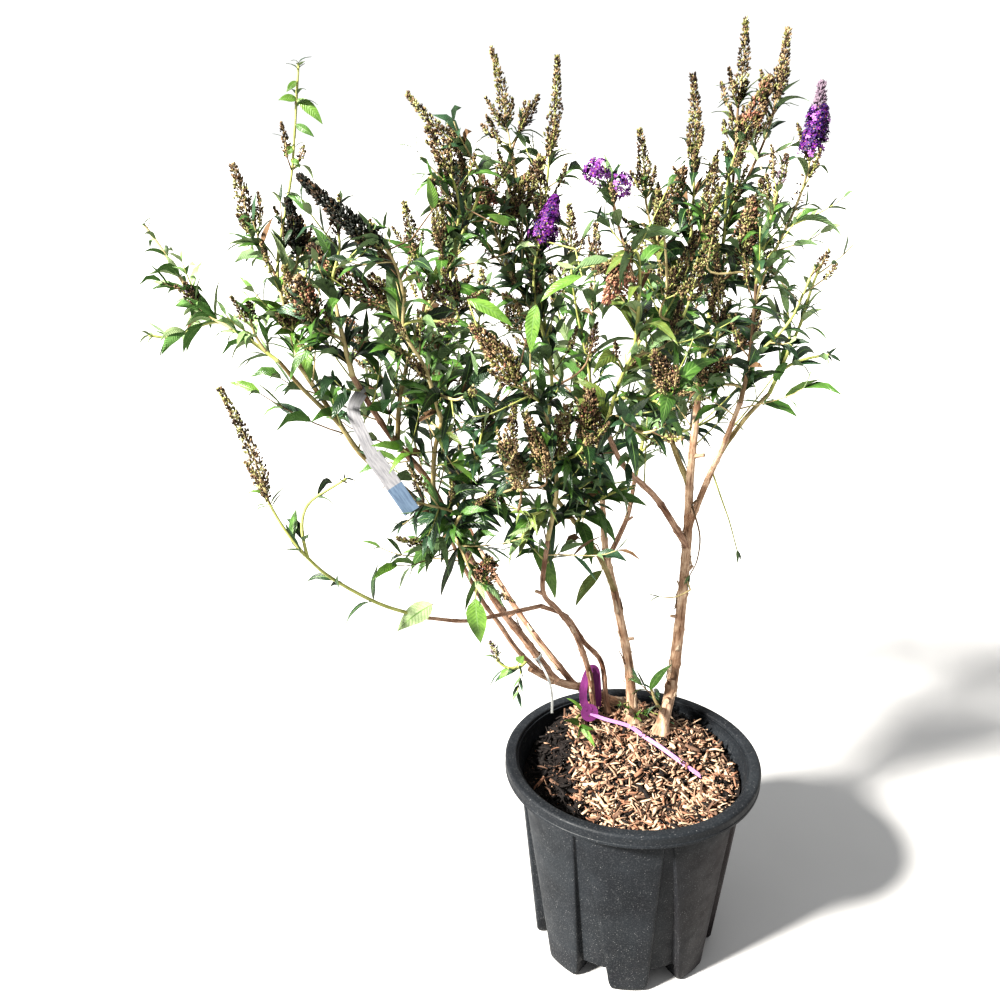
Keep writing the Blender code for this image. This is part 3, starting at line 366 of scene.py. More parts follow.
# Labels and tie
TAG_THICK = 0.9
TAG_WIDTH = 11
TAIL_WIDTH = 7
TAIL_LIFT = 7
TAG_HEAD_RADIUS = 12.5
TAG_HEAD_AT = (-51, 78, 305)
TAG_HOLES = ((-3.4, 2.6), (3.2, 3.0), (0.4, -4.2))
TAG_LOOP = [(-51, 79, 307), (-59, 83, 319), (-60, 87, 334), (-57, 90, 352), (-50, 94, 366),
            (-43, 98, 362), (-40, 100, 345), (-38, 101, 318), (-38, 102, 300)]
TAG_TAIL = [(-50, 78), (-30, 73), (4, 64), (20, 41), (38, 17), (54, 0), (73, -10), (92, -19)]
STRAP_WIDTH = 14
STRAP_AT = 812
STRAP = [(-337, -90, 796), (-327, -99, 770), (-316, -102, 745)]
PLATE_WIDTH = 19
PLATE = [(-317, -102, 748), (-296, -104, 716), (-275, -106, 683)]
HOOP_THICK = 1.0
HOOP_SIDES = 32
TIE_WIDTH = 3
TIE_AT = 402
TIE_TAIL = [(-113, 55, 378), (-106, 55, 352), (-105, 57, 318)]

# The light
SKY_STRENGTH = 0.9
SUN_STRENGTH = 21
SUN_SPREAD_DEG = 8
SUN_COLOUR = (1.0, 0.96, 0.90)
SUN_FROM = (-0.82, -0.50, 0.72)

# The camera, at the photograph's angle
CAMERA_AT = (-177, -1194, 1116)
CAMERA_TILT_DEG = 68.93
CAMERA_LENS = 37.8

# Colours, as linear red, green and blue; most are a dark and a pale tone of one colour
LEAF_UPPER = {
    "deep": ((0.005, 0.015, 0.006), (0.013, 0.033, 0.011)),
    "mid": ((0.022, 0.058, 0.010), (0.048, 0.108, 0.018)),
    "blue": ((0.013, 0.036, 0.017), (0.029, 0.066, 0.030)),
    "bright": ((0.046, 0.100, 0.014), (0.088, 0.168, 0.026)),
    "olive": ((0.060, 0.085, 0.018), (0.100, 0.130, 0.030)),
    "pale": ((0.095, 0.165, 0.055), (0.160, 0.240, 0.100)),
    "brown": ((0.060, 0.032, 0.014), (0.105, 0.060, 0.028)),
}
LEAF_LOWER = {
    "grey": ((0.070, 0.115, 0.050), (0.110, 0.165, 0.075)),
    "cream": ((0.150, 0.205, 0.095), (0.210, 0.270, 0.140)),
    "leaf": ((0.045, 0.105, 0.024), (0.070, 0.145, 0.038)),
}
MIDRIB = ((0.060, 0.115, 0.030), (0.110, 0.180, 0.055))
# Bark, from its darkest streak to its palest peel, and the shade of its patches
BARKS = {
    "bark_old": (
        ((0.048, 0.027, 0.018), (0.190, 0.116, 0.074), (0.345, 0.240, 0.164), (0.440, 0.330, 0.238),
         (0.510, 0.408, 0.310)), (0.52, 0.43, 0.38)),
    "bark_mid": (
        ((0.028, 0.016, 0.012), (0.115, 0.066, 0.044), (0.240, 0.150, 0.102), (0.335, 0.226, 0.158),
         (0.420, 0.310, 0.230)), (0.46, 0.37, 0.32)),
    "bark_young": (
        ((0.070, 0.055, 0.022), (0.150, 0.118, 0.052), (0.215, 0.178, 0.086), (0.255, 0.222, 0.115),
         (0.310, 0.275, 0.160)), (0.60, 0.52, 0.42)),
}
CAPSULES = {
    "black": ((0.004, 0.005, 0.004), (0.012, 0.015, 0.011)),
    "dark": ((0.012, 0.008, 0.005), (0.028, 0.018, 0.010)),
    "brown": ((0.050, 0.030, 0.017), (0.095, 0.060, 0.034)),
    "tan": ((0.170, 0.115, 0.062), (0.270, 0.195, 0.112)),
    "olive": ((0.080, 0.080, 0.024), (0.150, 0.145, 0.050)),
    "pale": ((0.210, 0.210, 0.085), (0.320, 0.315, 0.150)),
    "pinkish": ((0.170, 0.072, 0.048), (0.280, 0.135, 0.092)),
    "bud": ((0.085, 0.058, 0.085), (0.150, 0.115, 0.140)),
}
PETALS = {
    "violet": ((0.010, 0.0015, 0.034), (0.026, 0.003, 0.066)),
    "purple": ((0.040, 0.003, 0.070), (0.080, 0.007, 0.120)),
    "lilac": ((0.160, 0.050, 0.220), (0.270, 0.105, 0.340)),
    "eye": ((0.160, 0.060, 0.020), (0.220, 0.100, 0.030)),
}
PETAL = ((0.12, -0.12, 0), (0.12, 0.12, 0), (0.55, 0.30, 0.10), (0.55, -0.30, 0.10))
# Twigs: two tones, patch size, roughness, relief and grain
TWIGS = {
    "green": (((0.180, 0.200, 0.055), (0.300, 0.310, 0.110)), 14, 0.6, 0.2, 1.5),
    "tan": (((0.230, 0.185, 0.085), (0.370, 0.310, 0.170)), 14, 0.7, 0.3, 1.5),
    "brown": (((0.060, 0.038, 0.022), (0.150, 0.100, 0.055)), 14, 0.75, 0.3, 1.5),
}
CHIP_TONES = {
    "straw": ((0.260, 0.184, 0.124), (0.360, 0.268, 0.190)),
    "tan": ((0.185, 0.114, 0.074), (0.270, 0.178, 0.120)),
    "russet": ((0.125, 0.060, 0.036), (0.200, 0.106, 0.066)),
    "brown": ((0.050, 0.028, 0.019), (0.100, 0.060, 0.040)),
    "dark": ((0.003, 0.0025, 0.0025), (0.011, 0.008, 0.007)),
}
# How the chips' colours are dealt where the mix is lit, and where painted shade lies by the left wall and
# behind the right stem, so that nearly all chips there are dark
LIT_CHIPS = (24, 29, 19, 14, 18)
SHADE_CHIPS = (0, 2, 3, 11, 84)

# Kinds of spike: radius, gap between whorls, capsules in a cyme, their length and the mix of their colours
SPIKES = {
    "slim": (11.5, 4.4, 10, 4.3, {"brown": 3, "olive": 3, "dark": 5, "pale": 2, "tan": 2}),
    "spike": (13, 4.6, 12, 4.5, {"olive": 3, "brown": 4, "dark": 5, "pale": 2, "tan": 2}),
    "dark": (14.5, 4.2, 17, 5.4, {"black": 12, "dark": 2, "brown": 1}),
    "broad": (18, 4.6, 18, 5.0, {"brown": 5, "tan": 4, "dark": 4, "pinkish": 1, "olive": 3}),
    # Tan seed heads made paler than their own colour with painted light, as if the sun fell on them
    "tan_painted_lit": (15, 4.6, 15, 4.8, {"tan": 6, "pale": 4, "brown": 3, "olive": 2}),
    "pink": (15, 4.8, 14, 4.8, {"pinkish": 6, "tan": 3, "brown": 3}),
    "tuft": (9.5, 4.2, 9, 3.9, {"dark": 4, "brown": 3, "olive": 2, "bud": 1}),
    "young": (8, 4.0, 8, 4.2, {"olive": 5, "bud": 4, "pale": 3, "dark": 1}),
    "small": (7.0, 4.2, 6, 3.8, {"brown": 4, "olive": 2, "dark": 4, "tan": 2, "pale": 1}),
    "bloom": (16.5, 4.4, 10, 5.0, {"violet": 7, "purple": 3, "lilac": 1}),
    "late": (17.5, 4.4, 10, 5.0, {"violet": 2, "purple": 7, "lilac": 2}),
}
HEAD_TONES = {"purple": 6, "lilac": 3, "violet": 3}
# How many small side spikes go with a spike
SIDE_SPIKES = {"tuft": 1, "young": 0, "bloom": 1, "slim": 2, "spike": 2, "dark": 2, "broad": 3, "pink": 2}


# Paths

def smooth(points, steps):
    """A curve through the points, with the given number of steps between each two."""
    pts = [Vector(p) for p in points]
    ends = [2 * pts[0] - pts[1], *pts, 2 * pts[-1] - pts[-2]]
    out = []
    for i in range(1, len(ends) - 2):
        p0, p1, p2, p3 = ends[i - 1:i + 3]
        for s in range(steps):
            t = s / steps
            out.append(0.5 * (2 * p1 + (p2 - p0) * t + (2 * p0 - 5 * p1 + 4 * p2 - p3) * t ** 2
                              + (3 * p1 - p0 - 3 * p2 + p3) * t ** 3))
    out.append(pts[-1])
    return out


def lengths(path):
    """Distance along the path at each of its points."""
    out = [0.0]
    for a, b in zip(path, path[1:]):
        out.append(out[-1] + (b - a).length)
    return out


def at_station(path, share):
    """The point and direction at a share of the path's length."""
    marks = lengths(path)
    want = share * marks[-1]
    for i in range(len(path) - 1):
        if marks[i + 1] >= want or i == len(path) - 2:
            t = (want - marks[i]) / (marks[i + 1] - marks[i])
            return path[i].lerp(path[i + 1], t), (path[i + 1] - path[i]).normalized()


def at_height(path, height):
    """The point where the path first reaches a height."""
    for a, b in zip(path, path[1:]):
        if a.z <= height <= b.z:
            return a.lerp(b, (height - a.z) / (b.z - a.z))
    raise ValueError(f"the path doesn't reach {height}")


def even(path, step):
    """The path again, with points an even step apart."""
    marks = lengths(path)
    count = max(2, round(marks[-1] / step))
    out = []
    i = 0
    for k in range(count + 1):
        want = marks[-1] * k / count
        while i < len(path) - 2 and marks[i + 1] < want:
            i += 1
        t = (want - marks[i]) / (marks[i + 1] - marks[i])
        out.append(path[i].lerp(path[i + 1], t))
    return out


def square_to(way, axis):
    """The part of a direction that is square to an axis, as a unit vector."""
    return (way - axis * way.dot(axis)).normalized()


def turned(ahead, turn):
    """A direction square to the way ahead, turned round it."""
    return Matrix.Rotation(turn, 3, ahead) @ ahead.orthogonal().normalized()


def opened(ahead, side, degrees):
    """A heading that opens from the way ahead to its side by an angle."""
    angle = math.radians(degrees)
    return ahead * math.cos(angle) + side * math.sin(angle)


def nearest(points, spot):
    """The point that lies nearest to a spot."""
    return min(points, key=lambda point: (point - spot).length)


def frames(path, first=None):
    """A direction and two cross directions at each point, carried along without twist."""
    tangents = []
    for i in range(len(path)):
        a = path[max(i - 1, 0)]
        b = path[min(i + 1, len(path) - 1)]
        tangents.append((b - a).normalized())
    if first is not None:
        tangents[0] = first
    side = tangents[0].orthogonal().normalized()
    out = []
    for tangent in tangents:
        side = square_to(side, tangent)
        out.append((tangent, side, tangent.cross(side)))
    return out


def bezier(start, a, b, end, steps):
    """A cubic curve's points from its start to its end."""
    out = []
    for i in range(steps + 1):
        t = i / steps
        rest = 1 - t
        out.append(start * rest ** 3 + a * 3 * t * rest ** 2 + b * 3 * t ** 2 * rest + end * t ** 3)
    return out


def bend_to(start, heading, foot, axis, steps):
    """A shoot's path: it leaves along a heading and arrives along the flower's axis."""
    run = (foot - start).length
    return bezier(start, start + heading * run * 0.35, foot - axis * run * 0.4, foot, steps)


def ease(t):
    """A share from 0 to 1 that sets off and arrives gently."""
    return t * t * (3 - 2 * t)


# Shapes as arrays

def unit(v):
    return v / np.linalg.norm(v, axis=-1, keepdims=True)


def grid_faces(rows, columns, closed=False):
    """Triangles between rows of points; closed joins the last column to the first."""
    faces = []
    for i in range(rows - 1):
        for k in range(columns if closed else columns - 1):
            m = (k + 1) % columns
            a, b, c, d = i * columns + k, i * columns + m, (i + 1) * columns + m, (i + 1) * columns + k
            faces.append((a, b, c))
            faces.append((a, c, d))
    return np.array(faces)


def bar_faces(rows):
    """Triangles of a four-sided bar with closed ends."""
    last = (rows - 1) * 4
    ends = [(2, 1, 0), (3, 2, 0), (last, last + 1, last + 2), (last, last + 2, last + 3)]
    return np.concatenate([grid_faces(rows, 4, True), ends])


class Gather:
    """Triangles of one kind of thing, gathered to be one mesh."""

    def __init__(self):
        self.verts = []
        self.faces = []
        self.tones = []
        self.places = []
        self.count = 0

    def add(self, verts, faces, tone=0, places=None):
        """Places are two numbers a point that a material may read."""
        verts = np.asarray(verts, float).reshape(-1, 3)
        faces = np.asarray(faces, int)
        self.verts.append(verts)
        self.faces.append(faces + self.count)
        self.tones.append(np.broadcast_to(np.asarray(tone), (len(faces),)))
        if places is None:
            places = np.zeros((len(verts), 2))
        self.places.append(np.asarray(places).reshape(-1, 2))
        self.count += len(verts)

    def make(self, name, materials, nodes=(), crease_deg=180):
        """The gathered shapes as one object that rides on the part's body and stands for CAD nodes."""
        verts = np.concatenate(self.verts) * MM
        faces = np.concatenate(self.faces)
        mesh = bpy.data.meshes.new(name)
        mesh.vertices.add(len(verts))
        mesh.vertices.foreach_set("co", verts.ravel())
        mesh.loops.add(faces.size)
        mesh.loops.foreach_set("vertex_index", faces.ravel())
        mesh.polygons.add(len(faces))
        mesh.polygons.foreach_set("loop_start", np.arange(0, faces.size, 3))
        mesh.update(calc_edges=True)
        mesh.polygons.foreach_set("material_index", np.concatenate(self.tones))
        places = np.concatenate(self.places)[faces.ravel()]
        mesh.uv_layers.new(name="place").data.foreach_set("uv", places.ravel())
        mesh.shade_smooth()
        if crease_deg < 180:
            mesh.set_sharp_from_angle(angle=math.radians(crease_deg))
        for one in materials:
            mesh.materials.append(one)
        thing = bpy.data.objects.new(name, mesh)
        bpy.context.scene.collection.objects.link(thing)
        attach(thing, "root")
        if nodes:
            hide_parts(*nodes)


class Spindles:
    """Small spindles, each from a foot along a heading, waiting to be made all at once."""

    def __init__(self):
        self.rows = []

    def add(self, foot, heading, size, radius, tone):
        self.rows.append((foot, heading, size, radius, tone))

    def gathered(self, gather):
        feet, headings, sizes, radii, tones = (np.array(column) for column in zip(*self.rows))
        headings, sizes, radii = unit(headings), sizes[:, None], radii[:, None]
        other = np.where(np.abs(headings[:, 2:]) < 0.9, np.array([[0.0, 0, 1]]), np.array([[1.0, 0, 0]]))
        u = unit(np.cross(headings, other))
        v = np.cross(headings, u)
        points = [feet]
        faces = []
        for k in range(SPINDLE_SIDES):
            a = 2 * math.pi * k / SPINDLE_SIDES
            out = (u * math.cos(a) + v * math.sin(a)) * radii
            points.append(feet + headings * sizes * SPINDLE_WIDEST + out)
            here, there = 1 + k, 1 + (k + 1) % SPINDLE_SIDES
            faces += [(0, there, here), (here, there, SPINDLE_SIDES + 1)]
        points.append(feet + headings * sizes)
        starts = np.arange(len(feet)) * (SPINDLE_SIDES + 2)
        all_faces = np.array(faces)[None] + starts[:, None, None]
        gather.add(np.stack(points, axis=1), all_faces.reshape(-1, 3), np.repeat(tones, len(faces)))


def tube(path, radii, sides, first=None):
    """A closed round tube: points, triangles and places (round it, along it in mm)."""
    marks = lengths(path)
    verts = []
    places = []
    for point, radius, mark, (_, u, v) in zip(path, radii, marks, frames(path, first)):
        for k in range(sides):
            a = 2 * math.pi * k / sides
            verts.append(point + radius * (math.cos(a) * u + math.sin(a) * v))
            places.append((abs(2 * k / sides - 1), mark))
    faces = grid_faces(len(path), sides, True).tolist()
    for row, order in ((0, -1), (len(path) - 1, 1)):
        centre = len(verts)
        verts.append(path[row])
        places.append((0, marks[row]))
        for k in range(sides):
            a, b = row * sides + k, row * sides + (k + 1) % sides
            faces.append((a, b, centre) if order > 0 else (b, a, centre))
    return np.array(verts), np.array(faces), np.array(places)


# Materials

def shader(name, rough, gloss=0.2):
    """A new material and its shader, with the roughness and gloss that are the same all over it."""
    made = bpy.data.materials.new(name)
    made.use_nodes = True
    bsdf = made.node_tree.nodes["Principled BSDF"]
    bsdf.inputs["Roughness"].default_value = rough
    bsdf.inputs["Specular IOR Level"].default_value = gloss
    return made, bsdf


def add_node(made, kind, inputs=(), **settings):
    """A node with its inputs, each a value or another node's output."""
    node = made.node_tree.nodes.new(kind)
    for key, value in settings.items():
        setattr(node, key, value)
    for key, value in dict(inputs).items():
        if isinstance(value, bpy.types.NodeSocket):
            made.node_tree.links.new(value, node.inputs[key])
        else:
            node.inputs[key].default_value = value
    return node


def noise_at(made, where, size_mm, detail=3.0, rough=0.55):
    """A noise pattern with patches of about the given size."""
    pattern = {"Vector": where, "Scale": 1000 / size_mm, "Detail": detail, "Roughness": rough}
    return add_node(made, "ShaderNodeTexNoise", pattern).outputs["Fac"]


def streaks_along(made, where, across, along, **pattern):
    """A noise pattern drawn out into streaks along a stem or a strip."""
    lines = add_node(made, "ShaderNodeMapping", {"Vector": where, "Scale": (across, along, 1.0)})
    pattern.update(Vector=lines.outputs["Vector"], Scale=1.0)
    return add_node(made, "ShaderNodeTexNoise", pattern).outputs["Fac"]


def ramp(made, factor, stops):
    """Colours along a factor: (place, colour) stops."""
    node = add_node(made, "ShaderNodeValToRGB", {"Fac": factor})
    elements = node.color_ramp.elements
    while len(elements) < len(stops):
        elements.new(0.5)
    for element, (place, colour) in zip(elements, stops):
        element.position = place
        element.color = (*colour, 1)
    return node.outputs["Color"]


def mask(made, factor, low, high):
    """Black up to the low level of a factor, white from the high one."""
    return ramp(made, factor, [(low, (0, 0, 0)), (high, (1, 1, 1))])


def rescale(made, value, low, high, at_low=0.0, at_high=1.0):
    """A value carried over from one range to another, and held at the ends."""
    span = {"Value": value, "From Min": low, "From Max": high, "To Min": at_low, "To Max": at_high}
    return add_node(made, "ShaderNodeMapRange", span).outputs["Result"]


def math_node(made, operation, a, b=0.0):
    return add_node(made, "ShaderNodeMath", {0: a, 1: b}, operation=operation).outputs[0]


def times(made, a, b):
    """The product of two factors."""
    return math_node(made, "MULTIPLY", a, b)


def blend_colours(made, factor, a, b, kind="MIX"):
    node = add_node(made, "ShaderNodeMixRGB", {"Fac": factor, "Color1": a, "Color2": b}, blend_type=kind)
    return node.outputs["Color"]


def finished(made, bsdf, colour, height, strength, relief_mm):
    """The material with its colour and its relief."""
    made.node_tree.links.new(colour, bsdf.inputs["Base Color"])
    relief = {"Height": height, "Strength": strength, "Distance": relief_mm * MM}
    bump = add_node(made, "ShaderNodeBump", relief)
    made.node_tree.links.new(bump.outputs["Normal"], bsdf.inputs["Normal"])
    return made


def mottled(name, colours, patch_mm, rough, relief_mm, grain_mm, strength=0.6):
    """A surface whose colour drifts between two tones over small patches, with a fine uneven relief."""
    made, bsdf = shader(name, rough)
    where = add_node(made, "ShaderNodeTexCoord").outputs["Object"]
    colour = ramp(made, noise_at(made, where, patch_mm), [(0.35, colours[0]), (0.65, colours[1])])
    return finished(made, bsdf, colour, noise_at(made, where, grain_mm), strength, relief_mm)


def leaf_surface(name, colours, rough, relief_mm, gloss=0.2):
    """A leaf's surface: two close tones, and side veins that run out and forward from the midrib."""
    made, bsdf = shader(name, rough, gloss)
    tex = add_node(made, "ShaderNodeTexCoord")
    drift = noise_at(made, tex.outputs["Object"], 9)
    place = add_node(made, "ShaderNodeSeparateXYZ", {"Vector": tex.outputs["UV"]})
    slant = times(made, place.outputs["X"], 0.16)
    along = math_node(made, "SUBTRACT", place.outputs["Y"], slant)
    veins = math_node(made, "SINE", times(made, along, 75.0))
    shade = math_node(made, "ADD", drift, times(made, veins, 0.07))
    colour = ramp(made, shade, [(0.32, colours[0]), (0.68, colours[1])])
    ridges = times(made, veins, 0.5)
    height = math_node(made, "ADD", ridges, noise_at(made, tex.outputs["Object"], 1.6))
    return finished(made, bsdf, colour, height, 0.5, relief_mm)


def bark_surface(name, tones, patch):
    """Stem bark: fibres along the stem in tones from the darkest streak to the palest peel, with darker
    patches here and there."""
    made, bsdf = shader(name, 0.78)
    tex = add_node(made, "ShaderNodeTexCoord")
    fibres = streaks_along(made, tex.outputs["UV"], 6.0, 0.04, Detail=6.0, Roughness=0.65, Distortion=0.4)
    base = ramp(made, fibres, list(zip((0.30, 0.38, 0.47, 0.60, 0.76), tones)))
    patches = ramp(made, noise_at(made, tex.outputs["Object"], 30), [(0.38, patch), (0.56, (1, 1, 1))])
    colour = blend_colours(made, 1.0, base, patches, "MULTIPLY")
    return finished(made, bsdf, colour, fibres, 0.9, 1.2)


def pot_surface():
    """Matt black plastic: a warm tint on the right side under the rim, a fine grain, dust specks with
    more of them low down, and scuffs on the feet."""
    made, bsdf = shader("pot_plastic", 0.5, 0.1)
    where = add_node(made, "ShaderNodeTexCoord").outputs["Object"]
    place = add_node(made, "ShaderNodeSeparateXYZ", {"Vector": where})
    low = rescale(made, place.outputs["Z"], 0.0, 0.16, 1.0, 0.0)
    base = ramp(made, noise_at(made, where, 70), [(0.35, (0.0060, 0.0070, 0.0085)),
                                                  (0.65, (0.0105, 0.0125, 0.0148))])
    side = rescale(made, place.outputs["X"], 0.03, 0.13)
    under = rescale(made, place.outputs["Z"], 0.22, 0.25, 0.45, 0.0)
    base = blend_colours(made, times(made, side, under), base, (0.024, 0.014, 0.012, 1))
    grain = mask(made, noise_at(made, where, 1.9, 2.0), 0.50, 0.72)
    base = blend_colours(made, times(made, grain, 0.35), base, (0.050, 0.052, 0.055, 1))
    specks = add_node(made, "ShaderNodeTexVoronoi", {"Vector": where, "Scale": 1000 / 3.0})
    near = ramp(made, specks.outputs["Distance"], [(0.08, (1, 1, 1)), (0.22, (0, 0, 0))])
    spread = math_node(made, "ADD", noise_at(made, where, 9, 4.0), times(made, low, 0.16))
    dusty = times(made, near, mask(made, spread, 0.50, 0.60))
    base = blend_colours(made, times(made, dusty, 0.7), base, (0.15, 0.15, 0.15, 1))
    scuffs = mask(made, noise_at(made, where, 13, 6.0, 0.75), 0.45, 0.70)
    scuffs_low = times(made, times(made, scuffs, low), 0.15)
    base = blend_colours(made, scuffs_low, base, (0.050, 0.048, 0.045, 1))
    rough = ramp(made, noise_at(made, where, 22), [(0.3, (0.42, 0.42, 0.42)), (0.7, (0.60, 0.60, 0.60))])
    made.node_tree.links.new(rough, bsdf.inputs["Roughness"])
    return finished(made, bsdf, base, noise_at(made, where, 1.4), 0.35, 0.25)


def label_surface(name, colours, rough):
    """Thin sheet plastic with faint scratches along it."""
    made, bsdf = shader(name, rough)
    where = add_node(made, "ShaderNodeTexCoord").outputs["UV"]
    scratches = streaks_along(made, where, 9.0, 0.06, Detail=4.0, Roughness=0.6)
    colour = ramp(made, scratches, [(0.34, colours[0]), (0.60, colours[1])])
    return finished(made, bsdf, colour, scratches, 0.3, 0.15)


# The pot

def taper(z):
    """The wall's radius at a height."""
    return FOOT_RADIUS + (NECK_RADIUS - FOOT_RADIUS) * z / NECK_HEIGHT


def wall_columns(z, inset):
    """Each column round the pot at a height: its angle, how far it is into a flute and into an arch."""
    share = 1 - z / FLUTE_TOP
    width = (FLUTE_WIDTH_TOP + (FLUTE_WIDTH_LOW - FLUTE_WIDTH_TOP) * share) / FOOT_RADIUS
    side = FLUTE_SIDE / FOOT_RADIUS
    slope = math.radians(FOOT_SLOPE_DEG)
    spare = 0.7 * inset / FOOT_RADIUS
    out = []
    for k in range(FLUTES):
        left = math.radians(FLUTE_TURN_DEG + 360 / FLUTES * k) - spare
        right = left + width + 2 * spare
        far = left + FLUTE_WIDTH_LOW / FOOT_RADIUS + 2 * spare + side + slope
        near = left - side - slope
        stops = ((near, 0, 0), (left - side, 0, 1), (left, 1, 1), (right, 1, 1), (right + side, 0, 1),
                 (far, 0, 0), (near + 2 * math.pi / FLUTES, 0, 0))
        for (a0, d0, h0), (a1, d1, h1), count in zip(stops, stops[1:], (7, 4, 5, 4, 7, 6)):
            for i in range(count):
                t = i / count
                lift = 1 - math.sqrt(1 - t * t) if h1 > h0 else math.sqrt(1 - (1 - t) ** 2)
                out.append((a0 + (a1 - a0) * t, d0 + (d1 - d0) * ease(t), h0 + (h1 - h0) * lift))
    return out


def wall_ring(radius, z, inset=0.0, fluted=0.0, arched=True):
    """A ring of the pot's wall: fluted is the share of the flutes' depth it has, and its lower edge
    rises over the arches between the feet."""
    share = 1 - z / FLUTE_TOP
    depth = (FLUTE_DEPTH_TOP + (FLUTE_DEPTH_LOW - FLUTE_DEPTH_TOP) * share) * fluted
    verts = []
    for a, sunk, arch in wall_columns(z, inset):
        r = radius - inset - depth * sunk
        rise = ARCH_HEIGHT * arch * max(share, 0) if arched else 0
        verts.append((r * math.sin(a), -r * math.cos(a), z + rise))
    return verts


def arc(radius, z, size, turns):
    """Points round a corner: (radius, height) from one direction to another, in degrees."""
    angles = [math.radians(t) for t in turns]
    return [(radius + size * math.cos(a), z + size * math.sin(a)) for a in angles]


def make_pot():
    """The pot's closed shell: pad and feet, up the wall, round the rim and down inside to the floor."""
    rings = []
    floor_top = ARCH_HEIGHT + FLOOR
    for radius in (0.01, PAD_RADIUS, PAD_RADIUS + 1, FOOT_INNER_RADIUS - 6):
        low = 0 if radius <= PAD_RADIUS else ARCH_HEIGHT
        rings.append(wall_ring(radius, low, arched=False))
    rings.append(wall_ring(FOOT_INNER_RADIUS, 0))
    for radius, z in ((FOOT_RADIUS - 7, 0), (FOOT_RADIUS - 4, 0.8), (FOOT_RADIUS - 1.5, 2.6)):
        rings.append(wall_ring(radius, z, fluted=1))
    for z in (6, 12, 22, 36, 52, 70, 90, 112, 136, 160, 184, 206, 226, 242, 254, FLUTE_TOP - 2):
        rings.append(wall_ring(taper(z), z, fluted=1))
    rings.append(wall_ring(taper(FLUTE_TOP), FLUTE_TOP, fluted=0.6))
    skirt = RIM_RADIUS - RIM_SKIRT
    low = POT_HEIGHT - RIM_DEPTH
    inner = RIM_RADIUS - RIM_LIP_WIDTH
    profile = [(taper(FLUTE_TOP + 2), FLUTE_TOP + 2), (taper(FLUTE_TOP + 3.5), FLUTE_TOP + 3.5),
               (NECK_RADIUS + 1.2, FLUTE_TOP + 4.2), (NECK_RADIUS + 1.5, POT_HEIGHT - 5),
               (skirt - 1.5, POT_HEIGHT - 5), (skirt - 1.5, low + 0.6), (skirt - 0.8, low),
               (RIM_RADIUS - 1.2, low), *arc(RIM_RADIUS - 1.4, low + 1.4, 1.4, (-60, -20, 10)),
               (RIM_RADIUS, low + 4), (RIM_RADIUS - 0.6, low + 4.8), (RIM_RADIUS - 0.3, POT_HEIGHT - 5),
               *arc(RIM_RADIUS - 4.2, POT_HEIGHT - 4.2, 4.2, (10, 30, 50, 70, 88)),
               (RIM_RADIUS - 8, POT_HEIGHT - 0.3),
               *arc(inner + 2.6, POT_HEIGHT - 2.9, 2.6, (95, 120, 145, 172)),
               (inner - 0.4, POT_HEIGHT - 8), (taper(FLUTE_TOP + 6) - WALL, FLUTE_TOP + 6)]
    for radius, z in profile:
        rings.append(wall_ring(radius, z, arched=False))
    for z in (FLUTE_TOP, 250, 236):
        rings.append(wall_ring(taper(z), z, inset=WALL, fluted=1, arched=False))
    rings.append(wall_ring(taper(floor_top), floor_top, inset=WALL, fluted=1, arched=False))
    rings.append(wall_ring(0.01, floor_top, arched=False))
    gather = Gather()
    gather.add(np.array(rings), grid_faces(len(rings), len(rings[0]), True))
    gather.make("nursery_pot", [pot_surface()], ["pot"], 32)


# The potting mix

def mix_height(x, y):
    """Height of the mix: a flat crown, falling to the wall."""
    away = math.hypot(x - CROWN_CENTRE[0], y - CROWN_CENTRE[1]) - CROWN_RADIUS
    fall = min(1, max(0, away / MOUND_RUN))
    return CROWN_TOP - (CROWN_TOP - MIX_EDGE) * ease(fall)


def mix_top(x, y):
    """The mix's height with its lumps."""
    where = Vector((x, y, 0))
    lumps = noise.noise(where / 19) * 3.0 + noise.noise(where / 7) * 2.4
    rightward = min(1, max(0, (x - HEAP_FROM[0]) / HEAP_RUN[0]))
    forward = min(1, max(0, (HEAP_FROM[1] - y) / HEAP_RUN[1]))
    return mix_height(x, y) - BED_SINK + lumps + HEAP_RISE * ease(rightward) * ease(forward)


def make_mix():
    """The dark, lumpy bed of mix under the chips."""
    rows, columns = 46, 120
    verts = []
    for i in range(rows):
        r = MIX_RADIUS * i / (rows - 1)
        for k in range(columns):
            a = 2 * math.pi * k / columns
            x, y = r * math.cos(a), r * math.sin(a)
            verts.append((x, y, mix_top(x, y)))
    gather = Gather()
    gather.add(verts, grid_faces(rows, columns, True))
    bed = mottled("mix_bed", ((0.002, 0.0015, 0.0015), (0.010, 0.007, 0.006)), 7, 0.95, 2.0, 2.5)
    gather.make("mix_bed", [bed], ["potting_mix"])


def lie_on_mix(rng, reach):
    """A place on the mix, evenly spread, and clear of the wall by its reach."""
    r = (MIX_RADIUS - reach) * math.sqrt(rng.random())
    a = rng.uniform(0, 2 * math.pi)
    return r * math.cos(a), r * math.sin(a)


def in_painted_shade(x, y):
    """Whether painted shade lies on the mix here, leaving it bare and dark: by the left wall, and behind
    the right stem.
    """
    ragged = 9 * noise.noise(Vector((x, y, 0)) / 17)
    return x < -80 + 0.4 * max(0, -50 - y) + ragged or (x > 52 + ragged and y > 84 + ragged)


def chip_tone(rng, x, y):
    """The colour of a chip that lies here, nearly always dark where painted shade lies."""
    return rng.choices(range(len(CHIP_TONES)), SHADE_CHIPS if in_painted_shade(x, y) else LIT_CHIPS)[0]


